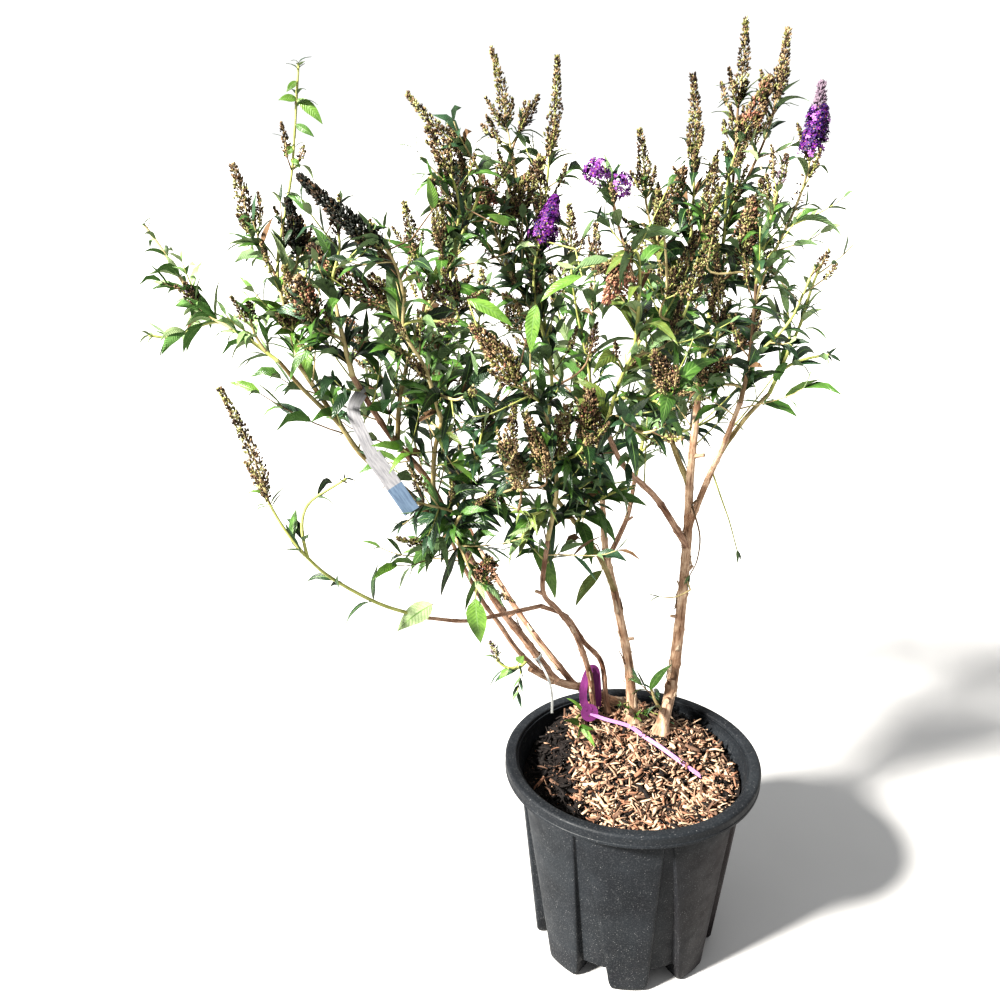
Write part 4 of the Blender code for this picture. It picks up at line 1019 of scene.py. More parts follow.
def add_chip(gather, centre, size, width, thick, lie, bend, tone):
    """A shaving: a flat curved sliver that narrows to its ends."""
    verts = []
    for i in range(CHIP_CUTS):
        t = i / (CHIP_CUTS - 1) - 0.5
        narrow = 1 - 1.3 * t * t
        lift = bend * (0.25 - t * t) * size
        sway = 0.3 * bend * math.sin(2.6 * t) * size
        for s, h in ((-1, -1), (1, -1), (1, 1), (-1, 1)):
            spot = Vector((t * size, sway + s * width * narrow / 2, lift + h * thick / 2))
            verts.append(centre + lie @ spot)
    gather.add(verts, bar_faces(CHIP_CUTS), tone)


def make_chips():
    """Bark and coir chips lying every way on the bed, with small crumbs between them."""
    rng = random.Random("chips")
    gather = Gather()
    for _ in range(CHIPS):
        size = rng.triangular(*CHIP_LENGTHS)
        x, y = lie_on_mix(rng, size * 0.4)
        # Half the chips in the painted shade are left out, so the dark bed shows there as shade
        if in_painted_shade(x, y) and rng.random() < 0.5:
            continue
        lift = rng.triangular(0, 7.0, 1.0)
        width = rng.triangular(*CHIP_WIDTHS)
        thick = rng.uniform(*CHIP_THICKS)
        lie = Matrix.Rotation(rng.uniform(0, math.pi), 3, "Z")
        lie = lie @ Matrix.Rotation(rng.gauss(0, 0.42), 3, "Y")
        lie = lie @ Matrix.Rotation(rng.gauss(0, 0.7), 3, "X")
        bend = rng.gauss(0, 0.4)
        centre = Vector((x, y, mix_top(x, y) + lift))
        add_chip(gather, centre, size, width, thick, lie, bend, chip_tone(rng, x, y))
    crumbs = Spindles()
    for _ in range(CRUMBS):
        x, y = lie_on_mix(rng, 3)
        foot = (x, y, mix_top(x, y) + rng.uniform(0, 3))
        heading = (rng.uniform(-1, 1), rng.uniform(-1, 1), rng.uniform(-0.3, 0.5))
        size = rng.triangular(*CRUMB_LENGTHS)
        radius = rng.uniform(*CRUMB_RADII)
        crumbs.add(foot, heading, size, radius, chip_tone(rng, x, y))
    crumbs.gathered(gather)
    looks = [mottled("chip_" + name, tones, 5, 0.85, 0.5, 1.5) for name, tones in CHIP_TONES.items()]
    gather.make("mix_chips", looks)


# Stems and boughs

limb_paths = {}
limb_radii = {}


def grow_limbs():
    """Each limb's smooth path and radii, parents first."""
    for name, (foot, thick, thin, points) in LIMBS.items():
        if foot is None:
            low = Vector(points[0])
            rise = (Vector(points[1]) - low).normalized()
            points = [low, low + rise * 9, low + rise * 26, *points[1:]]
        else:
            parent, height = foot
            path = limb_paths[parent]
            points = [path[-1] if height is None else at_height(path, height), *points]
        path = even(smooth(points, 8), BARK_STEP)
        marks = lengths(path)
        radii = []
        for mark in marks:
            radius = thick + (thin - thick) * mark / marks[-1]
            if foot is None:
                radius *= 1 + 0.75 * max(0, 1 - mark / 26) ** 2
            elif foot[1] is not None:
                radius *= 1 + 0.35 * max(0, 1 - mark / 14) ** 2
            radii.append(radius)
        limb_paths[name] = path
        limb_radii[name] = radii


def radius_at(limb, height):
    """A limb's radius where it first reaches a height."""
    for point, radius in zip(limb_paths[limb], limb_radii[limb]):
        if point.z >= height:
            return radius
    return limb_radii[limb][-1]


# Cut side stubs and old knots: limb, height on it, heading, length, radius
STUBS = [
    ("middle_stem", 582, (-0.2, -0.9, 0.35), 13, 2.6),
    ("thin_left_stem", 528, (-0.7, -0.5, 0.5), 11, 2.2),
    ("right_stem", 680, (0.8, -0.5, 0.3), 12, 2.6),
    ("middle_stem", 300, (-0.5, -0.8, 0.5), 15, 4.2),
    ("right_stem", 332, (-0.3, -0.9, 0.4), 12, 3.6),
    ("right_stem", 455, (-0.9, -0.4, 0.3), 8, 2.2),
    ("middle_stem", 402, (0.9, -0.3, 0.3), 7, 2.2),
    ("left_main_bough", 470, (0.6, -0.5, 0.6), 10, 2.0),
    ("left_main_bough", 560, (-0.8, -0.3, 0.4), 8, 1.9),
    ("left_back_bough", 455, (-0.6, 0.6, 0.4), 11, 2.2),
    ("middle_back_bough", 555, (0.8, 0.4, 0.4), 9, 1.8),
    ("right_stem", 520, (0.7, 0.6, 0.4), 10, 2.3),
]


def make_stems():
    """The limbs with the relief of their bark: fibres, peeling ridges, node rings and knots."""
    gather = Gather()
    for name, path in limb_paths.items():
        rng = random.Random(name + " bark")
        marks = lengths(path)
        radii = limb_radii[name]
        shift = rng.uniform(0, 100)
        nodes = []
        mark = rng.uniform(18, 40)
        while mark < marks[-1]:
            nodes.append((mark, rng.uniform(0, math.pi)))
            mark += rng.uniform(34, 62)
        verts, faces, places = tube(path, radii, BARK_SIDES, UP if LIMBS[name][0] is None else None)
        for i, (point, radius, mark) in enumerate(zip(path, radii, marks)):
            for k in range(BARK_SIDES):
                a = 2 * math.pi * k / BARK_SIDES
                spot = Vector((math.cos(a) * 2.4, math.sin(a) * 2.4, mark / 30 + shift))
                ridge = noise.noise(spot) * 0.06 + abs(noise.noise(spot * 2.3)) * 0.07
                fine = noise.noise(Vector((math.cos(a) * 5, math.sin(a) * 5, mark / 7 + shift))) * 0.04
                swell = 0
                for node, turn in nodes:
                    near = math.exp(-((mark - node) / 3.2) ** 2)
                    swell = max(swell, near * (0.07 + 0.14 * abs(math.cos(a - turn)) ** 3))
                row = i * BARK_SIDES + k
                out = Vector(verts[row]) - point
                verts[row] = point + out * (0.89 + ridge + fine + swell)
        gather.add(verts, faces, LIMB_TONES.get(name, 1), places)
    for limb, height, heading, length, radius in STUBS:
        start = at_height(limb_paths[limb], height)
        ahead = Vector(heading).normalized()
        reach = radius_at(limb, height)
        path = [start, start + ahead * (reach + length * 0.5), start + ahead * (reach + length)]
        verts, faces, places = tube(path, [radius * 1.35, radius * 1.02, radius], 12)
        tones = np.full(len(faces), LIMB_TONES.get(limb, 1))
        tones[-12:] = len(BARKS)
        gather.add(verts, faces, tones, places)
    looks = [bark_surface(name, *look) for name, look in BARKS.items()]
    looks.append(mottled("cut_wood", ((0.200, 0.135, 0.085), (0.330, 0.250, 0.170)), 3, 0.85, 0.4, 0.8))
    gather.make("stems_and_boughs", looks, list(LIMBS), 60)


def make_peelings():
    """Thin strips of bark that lift from the old stems."""
    rng = random.Random("peelings")
    gather = Gather()
    for limb, count in (("right_stem", 22), ("middle_stem", 16), ("cut_stem", 8), ("left_main_bough", 10),
                        ("thin_left_stem", 5), ("left_back_bough", 5)):
        path = limb_paths[limb]
        steps = frames(path)
        for _ in range(count):
            reach = rng.randint(3, 8)
            first = rng.randrange(2, max(3, int(len(path) * 0.7)))
            rows = list(range(first, min(first + reach, len(path) - 1)))
            if len(rows) < 3:
                continue
            turn = rng.uniform(0, 2 * math.pi)
            half = rng.uniform(0.05, 0.16)
            lift = rng.uniform(0.4, 2.0)
            verts = []
            for n, row in enumerate(rows):
                _, u, v = steps[row]
                t = n / (len(rows) - 1)
                r = limb_radii[limb][row] + 0.15 + lift * abs(2 * t - (1 if half > 0.1 else 0)) ** 2
                narrow = half * (1 - 0.75 * t ** 2)
                for s, h in ((-1, 0), (1, 0), (1, 0.35), (-1, 0.35)):
                    a = turn + s * narrow * 3
                    verts.append(path[row] + (math.cos(a) * u + math.sin(a) * v) * (r + h))
            gather.add(verts, bar_faces(len(rows)), rng.choice((0, 0, 1)))
    pale = mottled("peeling_pale", ((0.260, 0.190, 0.130), (0.400, 0.315, 0.235)), 6, 0.85, 0.3, 1.0)
    dark = mottled("peeling_dark", ((0.080, 0.045, 0.028), (0.150, 0.095, 0.060)), 6, 0.85, 0.3, 1.0)
    gather.make("bark_peelings", [pale, dark])


# Foliage

LEAF_ALONG = (0.0, 0.05, 0.16, 0.30, 0.45, 0.60, 0.74, 0.88, 1.0)
LEAF_ACROSS = (-1, -0.55, -0.07, 0.07, 0.55, 1)
SMALL_ALONG = (0.0, 0.08, 0.32, 0.62, 1.0)
SMALL_ACROSS = (-1, 0, 1)
UPPER = list(LEAF_UPPER)
LOWER = list(LEAF_LOWER)


class Leaves:
    """Leaves of one region, each with its foot, lie, size and colours."""

    def __init__(self):
        self.rows = []

    def add(self, foot, heading, crown, length, width, droop, upper, lower, rng):
        self.rows.append((foot, heading, crown, length, width, droop, rng.uniform(0.16, 0.42),
                          rng.uniform(0, 6.28), rng.gauss(0, 0.10), UPPER.index(upper), LOWER.index(lower)))

    def made(self, name, looks, along, across, nodes=()):
        """All the leaves as one mesh of upper and lower sheets that meet at their edges."""
        foot, heading, crown = (np.array([row[i] for row in self.rows]) for i in range(3))
        length, width, droop, fold, phase, sway = (
            np.array([row[i] for row in self.rows])[:, None] for i in range(3, 9))
        upper, lower = (np.array([row[i] for row in self.rows]) for i in (9, 10))
        t = np.array(along)[None]
        s = np.array(across, float)[None, None]
        widest = LEAF_WIDEST
        middle = foot + heading * length * widest + crown * length * 0.05
        hang = unit(heading - np.array(UP) * droop)
        tip = middle + hang * length * (1 - widest)
        shares = ((t - widest) * (t - 1) / widest, t * (t - 1) / (widest * (widest - 1)),
                  t * (t - widest) / (1 - widest))
        slopes = ((2 * t - widest - 1) / widest, (2 * t - 1) / (widest * (widest - 1)),
                  (2 * t - widest) / (1 - widest))
        spine = sum(w[..., None] * p[:, None] for w, p in zip(shares, (foot, middle, tip)))
        ahead = unit(sum(w[..., None] * p[:, None] for w, p in zip(slopes, (foot, middle, tip))))
        side = unit(np.cross(ahead, crown[:, None] + 0 * ahead))
        spine = spine + side * (sway * length * t * t * (1 - 0.3 * t))[..., None]
        out = np.cross(side, ahead)
        outline = np.sin(math.pi * t ** 0.80) ** 0.90 * (1.10 - 0.35 * t)
        half = 0.5 * width * np.maximum(outline, 0.05 * (1 - t) + 0.012)
        wave = np.sin(phase + 11 * t)[..., None] * np.abs(s) * 0.07
        rise = (np.abs(s) * fold[..., None] - s * s * 0.16 + wave) * half[..., None]
        body = spine[:, :, None] + side[:, :, None] * (s * half[..., None])[..., None]
        body = body + out[:, :, None] * rise[..., None]
        lift = out[:, :, None] * (LEAF_HALF_THICK * (1 - np.abs(s)) + 0.02)[..., None]
        count, rows, columns = body.shape[:3]
        faces = grid_faces(rows, columns)
        all_faces = (faces[None] + (np.arange(count) * rows * columns)[:, None, None]).reshape(-1, 3)
        places = np.stack(np.broadcast_arrays(np.abs(s) + 0 * t[..., None], t[..., None] + 0 * s), -1)
        places = np.broadcast_to(places, (count, rows, columns, 2))
        rib = np.array([across[k] == -across[k + 1] for k in range(columns - 1)])
        is_rib = np.tile(np.repeat(rib, 2), rows - 1)
        rib_tone = len(UPPER) + len(LOWER)
        gather = Gather()
        for sign, tones in ((1, upper), (-1, lower + len(UPPER))):
            tone = np.where(is_rib[None], rib_tone, tones[:, None]).ravel()
            sheet = all_faces if sign < 0 else all_faces[:, ::-1]
            gather.add(body + sign * lift, sheet, tone, places)
        gather.make(name, looks, nodes)


def leaf_looks():
    """The leaves' materials: upper sides, undersides and the midrib."""
    looks = [leaf_surface("leaf_" + name, tones, 0.36 if name != "brown" else 0.8, 0.5, gloss=0.3)
             for name, tones in LEAF_UPPER.items()]
    looks += [leaf_surface("underleaf_" + name, tones, 0.78, 0.7) for name, tones in LEAF_LOWER.items()]
    looks.append(mottled("leaf_midrib", MIDRIB, 8, 0.6, 0.2, 1.0))
    return looks


# How the colours of shoots are dealt by region; the tones are the leaves' own, but the left region's larger
# share of bright ones is painted light on the side the sun falls on
SPRAY_TONES = {
    "right": {"deep": 5, "mid": 5, "blue": 3, "bright": 2, "olive": 1},
    "middle": {"deep": 7, "mid": 4, "blue": 4, "bright": 2, "olive": 1},
    "left": {"deep": 4, "mid": 5, "blue": 2, "bright": 4, "olive": 1},
    "back": {"deep": 6, "mid": 5, "blue": 3, "bright": 1, "olive": 1},
}


def pick(rng, weights):
    """One of the names, by their weights."""
    return rng.choices(list(weights), list(weights.values()))[0]


class Shoot:
    """A leafy shoot: its fine path, the coarse path that the part's rule counts leaves on, and its tone."""

    def __init__(self, path, coarse, radii, tone, first, fall=0.3):
        self.path = path
        self.coarse = coarse
        self.radii = radii
        self.tone = tone
        self.first = first
        self.fall = fall

    def at(self, share):
        point, ahead = at_station(self.path, min(max(share, 0), 1))
        return point, ahead, self.radii[0] + (self.radii[-1] - self.radii[0]) * share


def spring_from(limb, height):
    """Where a mass begins: on its limb's side at a height, or at its tip."""
    path = limb_paths[limb]
    return path[-1] if height is None else at_height(path, height)


def make_shoots(name, region, rng):
    """The mass's leading shoot and side shoots, as the part grows them."""
    limb, height, points, plans = MASSES[name]
    start = spring_from(limb, height)
    thick = limb_radii[limb][-1] if height is None else LEAD_RADIUS
    coarse = [start, *[Vector(p) for p in points]]
    tones = {MASS_TONES[name]: 1} if name in MASS_TONES else SPRAY_TONES[region]
    lead = Shoot(smooth(coarse, FINE_STEPS), coarse, (thick, TWIG_RADIUS), pick(rng, tones),
                 LEAF_FIRST.get(name, 14))
    shoots = [lead]
    for station, foot, tip, kind in plans:
        base, ahead = at_station(coarse, station * 0.96)
        low, high = Vector(foot), Vector(tip)
        axis = (high - low).normalized()
        heading = ((low - base).normalized() + ahead * 0.8).normalized()
        coarse_path = bend_to(base, heading, low, axis, SHOOT_STEPS)
        near = at_station(lead.path, station * 0.96)[0]
        path = bend_to(near, heading, low, axis, FINE_STEPS)
        if kind == "leafy":
            coarse_path.append(high)
            path += [low.lerp(high, 0.25), low.lerp(high, 0.5), low.lerp(high, 0.75), high]
        shoots.append(Shoot(path, coarse_path, (TWIG_RADIUS * 1.15, TWIG_RADIUS * 1.15 - 0.6),
                            pick(rng, tones), 20, LEAF_FALL.get(kind, 0.3)))
    return shoots


def is_clear(foot, middle, tip):
    """Whether a leaf misses the limbs, the pot and the labels, and stays inside the part's box."""
    for i in range(3):
        if not low_corner[i] < tip[i] < high_corner[i]:
            return False
    for a, b in ((foot, middle), (middle, tip)):
        run = b - a
        if limb_tree.ray_cast(a * MM, run.normalized(), run.length * MM)[0] is not None:
            return False
    return True


def hang_leaf(store, foot, heading, crown, length, width, droop, tone, rng):
    """One leaf, dealt its colours, if its way is clear."""
    middle = foot + heading * length * LEAF_WIDEST + crown * length * 0.05
    tip = middle + (heading - UP * droop).normalized() * length * (1 - LEAF_WIDEST)
    if not is_clear(foot + heading * min(6, length * 0.15), middle, tip):
        return
    upper = tone
    if tone != "pale" and rng.random() < 0.25:
        upper = rng.choice(("deep", "mid", "mid", "blue"))
    if rng.random() < 0.02:
        upper = "brown"
    lower = "cream" if rng.random() < 0.25 else "grey"
    if upper in ("bright", "pale"):
        lower = "leaf" if rng.random() < 0.6 else "cream"
    store.add(foot, heading, crown, length, width, droop, upper, lower, rng)


class Thicket:
    """What grows in one region of the crown, gathered before it is made."""

    def __init__(self, florets):
        self.large = Leaves()
        self.small = Leaves()
        self.capsules = Spindles()
        self.florets = florets
        self.twigs = []
        self.stations = []

    def add_twig(self, path, radii, sides=5):
        self.twigs.append((path, radii, sides))

    def add_capsule(self, foot, heading, size, radius, tone):
        self.capsules.add(foot, heading, size, radius, CAPSULE_NAMES.index(tone))


def main_leaves(store, shoot, rng, deal, share_of_size):
    """The pairs that the part's own rule grows, with its seed, and the marks where they sit."""
    total = lengths(shoot.coarse)[-1]
    mark = shoot.first
    turn = rng.uniform(0, math.pi)
    nodes = []
    while mark < total - 6:
        coarse_ahead = at_station(shoot.coarse, mark / total)[1]
        point, _, radius = shoot.at(mark / total)
        side = turned(coarse_ahead, turn)
        size = rng.uniform(*LEAF_SIZES) * (1 - shoot.fall * mark / max(total, 160)) * share_of_size
        for sign in (1, -1):
            heading = opened(coarse_ahead, side * sign, rng.uniform(48, 66))
            length = size * rng.uniform(0.9, 1.08)
            width = length * rng.uniform(0.2, 0.26) * 1.12
            hang_leaf(store, point + heading * radius * 0.7, heading, square_to(coarse_ahead, heading),
                      length, width, rng.uniform(0.35, 1.0), shoot.tone, deal)
        nodes.append((mark / total, turn))
        turn += math.pi / 2 + rng.uniform(-0.25, 0.25)
        mark += NODE_SPACING * rng.uniform(0.85, 1.15)
    return nodes


def small_leaf(store, point, heading, ahead, length, tone, rng):
    """A young leaf, its upper side turned to the way ahead."""
    crown = ahead - heading * ahead.dot(heading)
    if crown.length < 0.05:
        crown = heading.orthogonal()
    hang_leaf(store, point, heading, crown.normalized(), length, length * rng.uniform(0.22, 0.32),
              rng.uniform(0.1, 0.9), tone, rng)


def between_leaves(thicket, shoot, nodes, rng, share_of_size, growth, seedy, seeding):
    """Finer growth than the part's: pairs between its pairs, and what grows in the axils."""
    total = lengths(shoot.coarse)[-1]
    gap = NODE_SPACING / 3 / total
    more = [(share, turn, True) for share, turn in nodes]
    for share, turn in nodes:
        more += [(share + gap * k, turn + math.pi / 3 * k + rng.uniform(-0.3, 0.3), False) for k in (1, 2)]
    for share, turn, main in more:
        if share * total > total - 5:
            continue
        point, ahead, radius = shoot.at(share)
        side = turned(ahead, turn)
        seeds = seedy if share > 0.5 else seedy * 0.3
        for sign in (1, -1):
            out = side * sign
            if not main and rng.random() < 0.85 * min(1, growth) * (1 - 0.45 * seeds):
                heading = opened(ahead, out, rng.uniform(44, 74))
                length = rng.uniform(*BETWEEN_SIZES) * (1 - 0.25 * share) * share_of_size
                width = length * rng.uniform(0.22, 0.30)
                hang_leaf(thicket.large, point + heading * radius * 0.7, heading, square_to(ahead, heading),
                          length, width, rng.uniform(0.3, 1.1), shoot.tone, rng)
            for _ in range(int(growth * (1 if main else 0.55) + rng.random())):
                grow_in_axil(thicket, shoot, share, out, seeds, seeding, rng)


def grow_in_axil(thicket, shoot, share, out, seeds, seeding, rng):
    """A short twig, a seed head, two young leaves or nothing, in one axil."""
    point, ahead, radius = shoot.at(share)
    roll = rng.random()
    if roll < 0.32 - 0.18 * seeds:
        grow_twig(thicket, point, ahead, out, shoot.tone, rng)
    elif roll < 0.50 + 0.12 * seeds and share > 0.3 and seeding:
        heading = (ahead * rng.uniform(0.7, 1.3) + out).normalized()
        foot = point + heading * rng.uniform(10, 34)
        tip = foot + (heading + ahead * 0.4 + UP * 0.3).normalized() * rng.uniform(16, 38)
        grow_small_spike(thicket, point, heading, foot, tip, rng)
    elif roll < 0.90:
        for k in (-1, 1):
            degrees = rng.uniform(18, 52)
            aside = Matrix.Rotation(k * rng.uniform(0.2, 0.8), 3, ahead) @ out
            heading = opened(ahead, aside, degrees)
            length = rng.uniform(*YOUNG_SIZES)
            small_leaf(thicket.small, point + out * radius, heading, ahead, length, shoot.tone, rng)


def grow_small_spike(thicket, point, heading, foot, tip, rng):
    """A small seed spike on a stalk, if its way is clear, and whether it grew."""
    if not is_clear(point + heading * 4, foot, tip):
        return False
    thicket.add_twig([point, point.lerp(foot, 0.5), foot], [1.0, 0.9, 0.8])
    grow_spike(thicket, foot, tip, "small", rng)
    return True


def grow_twig(thicket, point, ahead, out, tone, rng, stretch=1.0):
    """A short twig from an axil, with two pairs of small leaves and a pair at its tip."""
    length = rng.uniform(*TWIG_LENGTHS) * stretch
    heading = (ahead * rng.uniform(0.6, 1.3) + out).normalized()
    tip = point + heading * length + UP * rng.uniform(-0.05, 0.25) * length
    rise = (heading + UP * 0.4).normalized()
    path = bezier(point, point + heading * length * 0.4, tip - rise * length * 0.3, tip, 6)
    if not is_clear(path[1], path[3], path[-1]):
        return
    thicket.add_twig(path, [1.05 - 0.5 * i / 6 for i in range(7)])
    turn = rng.uniform(0, math.pi)
    for share in (0.4, 0.72, 1.0):
        spot, along = at_station(path, share)
        side = turned(along, turn)
        for sign in (1, -1):
            way = opened(along, side * sign, rng.uniform(30, 62) * (1.1 - 0.45 * share))
            size = rng.uniform(18, 42) * stretch * (1.1 - 0.35 * share)
            small_leaf(thicket.small, spot, way, along, size, tone, rng)
        turn += math.pi / 2


def tip_leaves(store, shoot, rng, count):
    """Young leaves at the end of a shoot, or at the foot of its spike; they are smallest where no spike
    follows."""
    point, ahead, _ = shoot.at(1)
    short, long, least = (8, 17, 48) if count > 2 else (20, 40, 22)
    turn = rng.uniform(0, math.pi)
    for k in range(count):
        side = turned(ahead, turn + k * math.pi + (k // 2) * math.pi / 2)
        heading = opened(ahead, side, rng.uniform(least, least + 32))
        length = rng.uniform(short, long)
        small_leaf(store, point - ahead * (k // 2) * 3, heading, ahead, length, shoot.tone, rng)


# Spikes of flowers, most of them gone to seed

CAPSULE_NAMES = list(CAPSULES)
PETAL_NAMES = list(PETALS)


def spike_path(foot, tip):
    """The part's own line for a spike, a little bowed."""
    axis = tip - foot
    bend = axis.orthogonal().normalized() * axis.length * 0.04
    return [foot + axis * (i / 10) + bend * math.sin(math.pi * i / 10) for i in range(11)]


def swell(share):
    """How wide a spike gone to seed is along its length, as a share of its radius."""
    return 0.55 + 0.45 * min(1, share / 0.2) - 0.62 * max(0, (share - 0.2) / 0.8)


def add_floret(gather, centre, heading, size, tone, rng):
    """A small open flower: a tube, four petals and an eye."""
    u = turned(heading, rng.uniform(0, 1.57))
    v = heading.cross(u)
    verts = [centre - heading * size * 0.9]
    faces = []
    tones = []
    for k in range(4):
        a = math.pi / 2 * k
        out = math.cos(a) * u + math.sin(a) * v
        across = heading.cross(out)
        first = len(verts)
        petal = (*PETAL, (0.78, 0, rng.uniform(-0.10, 0.10)))
        for reach, aside, lift in petal:
            verts.append(centre + out * size * reach + across * size * aside + heading * size * lift)
        faces += [(first, first + 1, first + 2), (first, first + 2, first + 3),
                  (first + 3, first + 2, first + 4), (first + 1, first, 0)]
        tones += [PETAL_NAMES.index(tone)] * 4
    eye = len(verts)
    verts.append(centre + heading * size * 0.10)
    for k in range(4):
        faces.append((1 + 5 * k, eye, 2 + 5 * k))
        tones.append(PETAL_NAMES.index("eye"))
    gather.add(verts, faces, np.array(tones))


def grow_spike(thicket, foot, tip, kind, rng, open_to=0):
    """Whorls of cymes along the spike, closing to its tip, with open flowers on them so far up."""
    radius, gap, _, _, tones = SPIKES[kind]
    path = spike_path(foot, tip)
    total = lengths(path)[-1]
    thicket.add_twig(path, [1.25 - 0.85 * i / 10 for i in range(11)])
    mark = 0.0
    turn = rng.uniform(0, math.pi)
    patch = pick(rng, tones)
    while mark < total:
        share = mark / total
        wide = radius * swell(share) * rng.uniform(0.85, 1.12)
        if open_to > 0:
            wide = radius * (1.02 - 0.72 * share ** 1.4) * rng.uniform(0.9, 1.08)
        if rng.random() < 0.35:
            patch = pick(rng, tones)
        arms = 2 if wide < 11 else 3
        for arm in range(arms):
            a = turn + arm * 2 * math.pi / arms + rng.uniform(-0.25, 0.25)
            grow_cyme(thicket, path, share, a, wide, kind, patch, open_to, rng)
        turn += math.pi / 2 + rng.uniform(-0.2, 0.2)
        mark += gap * (1 - 0.35 * share) * rng.uniform(0.85, 1.15)
    point, ahead = at_station(path, 1.0)
    for _ in range(5):
        heading = (ahead + Vector((rng.gauss(0, 0.4), rng.gauss(0, 0.4), rng.gauss(0, 0.2)))).normalized()
        tone = "bud" if open_to > 0 else pick(rng, tones)
        thicket.add_capsule(point - heading * 3, heading, 3.2, 0.9, tone)


def grow_cyme(thicket, path, share, turn, wide, kind, patch, open_to, rng):
    """One arm of a whorl: a stalk with a cluster of seed capsules, buds or open flowers."""
    _, _, each, size, tones = SPIKES[kind]
    point, ahead = at_station(path, share)
    out = turned(ahead, turn)
    arm_tone = patch if rng.random() < 0.45 else pick(rng, tones)
    hub = point + out * wide * 0.42 + ahead * wide * 0.18
    if open_to == 0:
        root = point + out * 0.8
        stalk = hub - root
        thicket.add_capsule(root, stalk, max(stalk.length, 1.5), 0.55, rng.choice(("olive", "brown")))
    count = max(3, round(each * (0.55 + 0.45 * swell(share)) * rng.uniform(0.8, 1.2)))
    if 0 < open_to <= share:
        count *= 2
    for _ in range(count):
        aside = Matrix.Rotation(rng.gauss(0, 0.62), 3, ahead) @ out
        heading = (aside * rng.uniform(0.6, 1.1) + ahead * rng.gauss(0.35, 0.35)).normalized()
        start = point + (hub - point) * rng.uniform(0.35, 1.1)
        reach = wide * rng.triangular(0.55, 1.05, 0.95)
        if share < open_to:
            centre = point + heading * reach
            tone = pick(rng, tones)
            facing = (heading + UP * 0.15).normalized()
            add_floret(thicket.florets, centre, facing, rng.uniform(3.6, 5.4), tone, rng)
            if rng.random() < 0.3:
                thicket.add_capsule(start, centre - start, (centre - start).length, 0.5, "bud")
            continue
        tone = "bud" if open_to > 0 else (arm_tone if rng.random() < 0.6 else pick(rng, tones))
        long = size * rng.uniform(0.75, 1.2)
        thin = long * rng.uniform(0.22, 0.31)
        if rng.random() < 0.14:
            long, thin = long * 1.5, thin * 0.5
        lean = (heading + ahead * rng.uniform(0.2, 1.3)).normalized()
        thicket.add_capsule(point + heading * reach - lean * long, lean, long, thin, tone)


def grow_side_spikes(thicket, shoot, kind, rng):
    """Small spikes on short stalks from the upper axils, as the flower heads of this bush have."""
    total = lengths(shoot.path)[-1]
    turn = rng.uniform(0, math.pi)
    for k in range(SIDE_SPIKES[kind]):
        share = 1 - (4 + 26 * (k // 2) + rng.uniform(0, 8)) / total
        if share < 0.3:
            continue
        point, ahead, _ = shoot.at(share)
        side = turned(ahead, turn + k * math.pi)
        heading = opened(ahead, side, rng.uniform(22, 44))
        foot = point + heading * rng.uniform(6, 20)
        tip = foot + (heading + ahead * 0.5 + UP * 0.2).normalized() * rng.uniform(18, 44)
        if not grow_small_spike(thicket, point, heading, foot, tip, rng):
            continue
        for sign in (1, -1):
            way = (ahead * 0.5 + side.cross(ahead) * sign).normalized()
            small_leaf(thicket.small, point + way, way, ahead, rng.uniform(14, 30), shoot.tone, rng)
        turn += rng.uniform(-0.3, 0.3) + (math.pi / 2 if k % 2 else 0)


def grow_head(thicket, foot, tip, rng):
    """A young flower head: two round clusters of open flowers at the end of the stalk."""
    ahead = (tip - foot).normalized()
    aside = Vector((1, 0, 0))
    thicket.add_twig([foot, foot.lerp(tip, 0.5), tip], [1.1, 0.9, 0.6], 6)
    for centre, radius in ((tip - aside * 9 - ahead * 8, 15), (foot + aside * 11 + ahead * 10, 14)):
        for _ in range(58):
            heading = Vector((rng.gauss(0, 1), rng.gauss(0, 1), rng.gauss(0.25, 1))).normalized()
            reach = radius * rng.uniform(0.72, 1.08)
            size = rng.uniform(4.2, 6.0)
            add_floret(thicket.florets, centre + heading * reach, heading, size, pick(rng, HEAD_TONES), rng)
            if rng.random() < 0.5:
                thicket.add_capsule(centre, heading, reach, 0.6, "bud")


def grow_spent_whorls(thicket, shoot, rng):
    """Whorls that have gone brown on the stalk below an open flower spike."""
    total = lengths(shoot.path)[-1]
    mark = 3.0
    while mark < min(70, total * 0.5):
        point, ahead, _ = shoot.at(1 - mark / total)
        for _ in range(max(5, round(20 * (1 - mark / 80)))):
            side = turned(ahead, rng.uniform(0, 2 * math.pi))
            heading = (side + ahead * rng.gauss(0.5, 0.3)).normalized()
            tone = rng.choice(("dark", "brown", "dark", "black", "tan"))
            foot = point + side * rng.uniform(1.5, 5)
            thicket.add_capsule(foot, heading, rng.uniform(3.5, 6), 0.8, tone)
        mark += rng.uniform(7, 10)


def grow_flowers(thicket, shoot, foot, tip, kind, open_to, rng):
    """What a side shoot ends in: an open head, a spike in bloom, one gone to seed, or only leaves."""
    if kind == "head":
        grow_head(thicket, foot, tip, rng)
    elif kind == "bloom":
        grow_spike(thicket, foot, tip, "late" if open_to == 1 else "bloom", rng, open_to)
        grow_side_spikes(thicket, shoot, kind, rng)
        grow_spent_whorls(thicket, shoot, rng)
    elif kind != "leafy":
        grow_spike(thicket, foot, tip, kind, rng)
        grow_side_spikes(thicket, shoot, kind, rng)


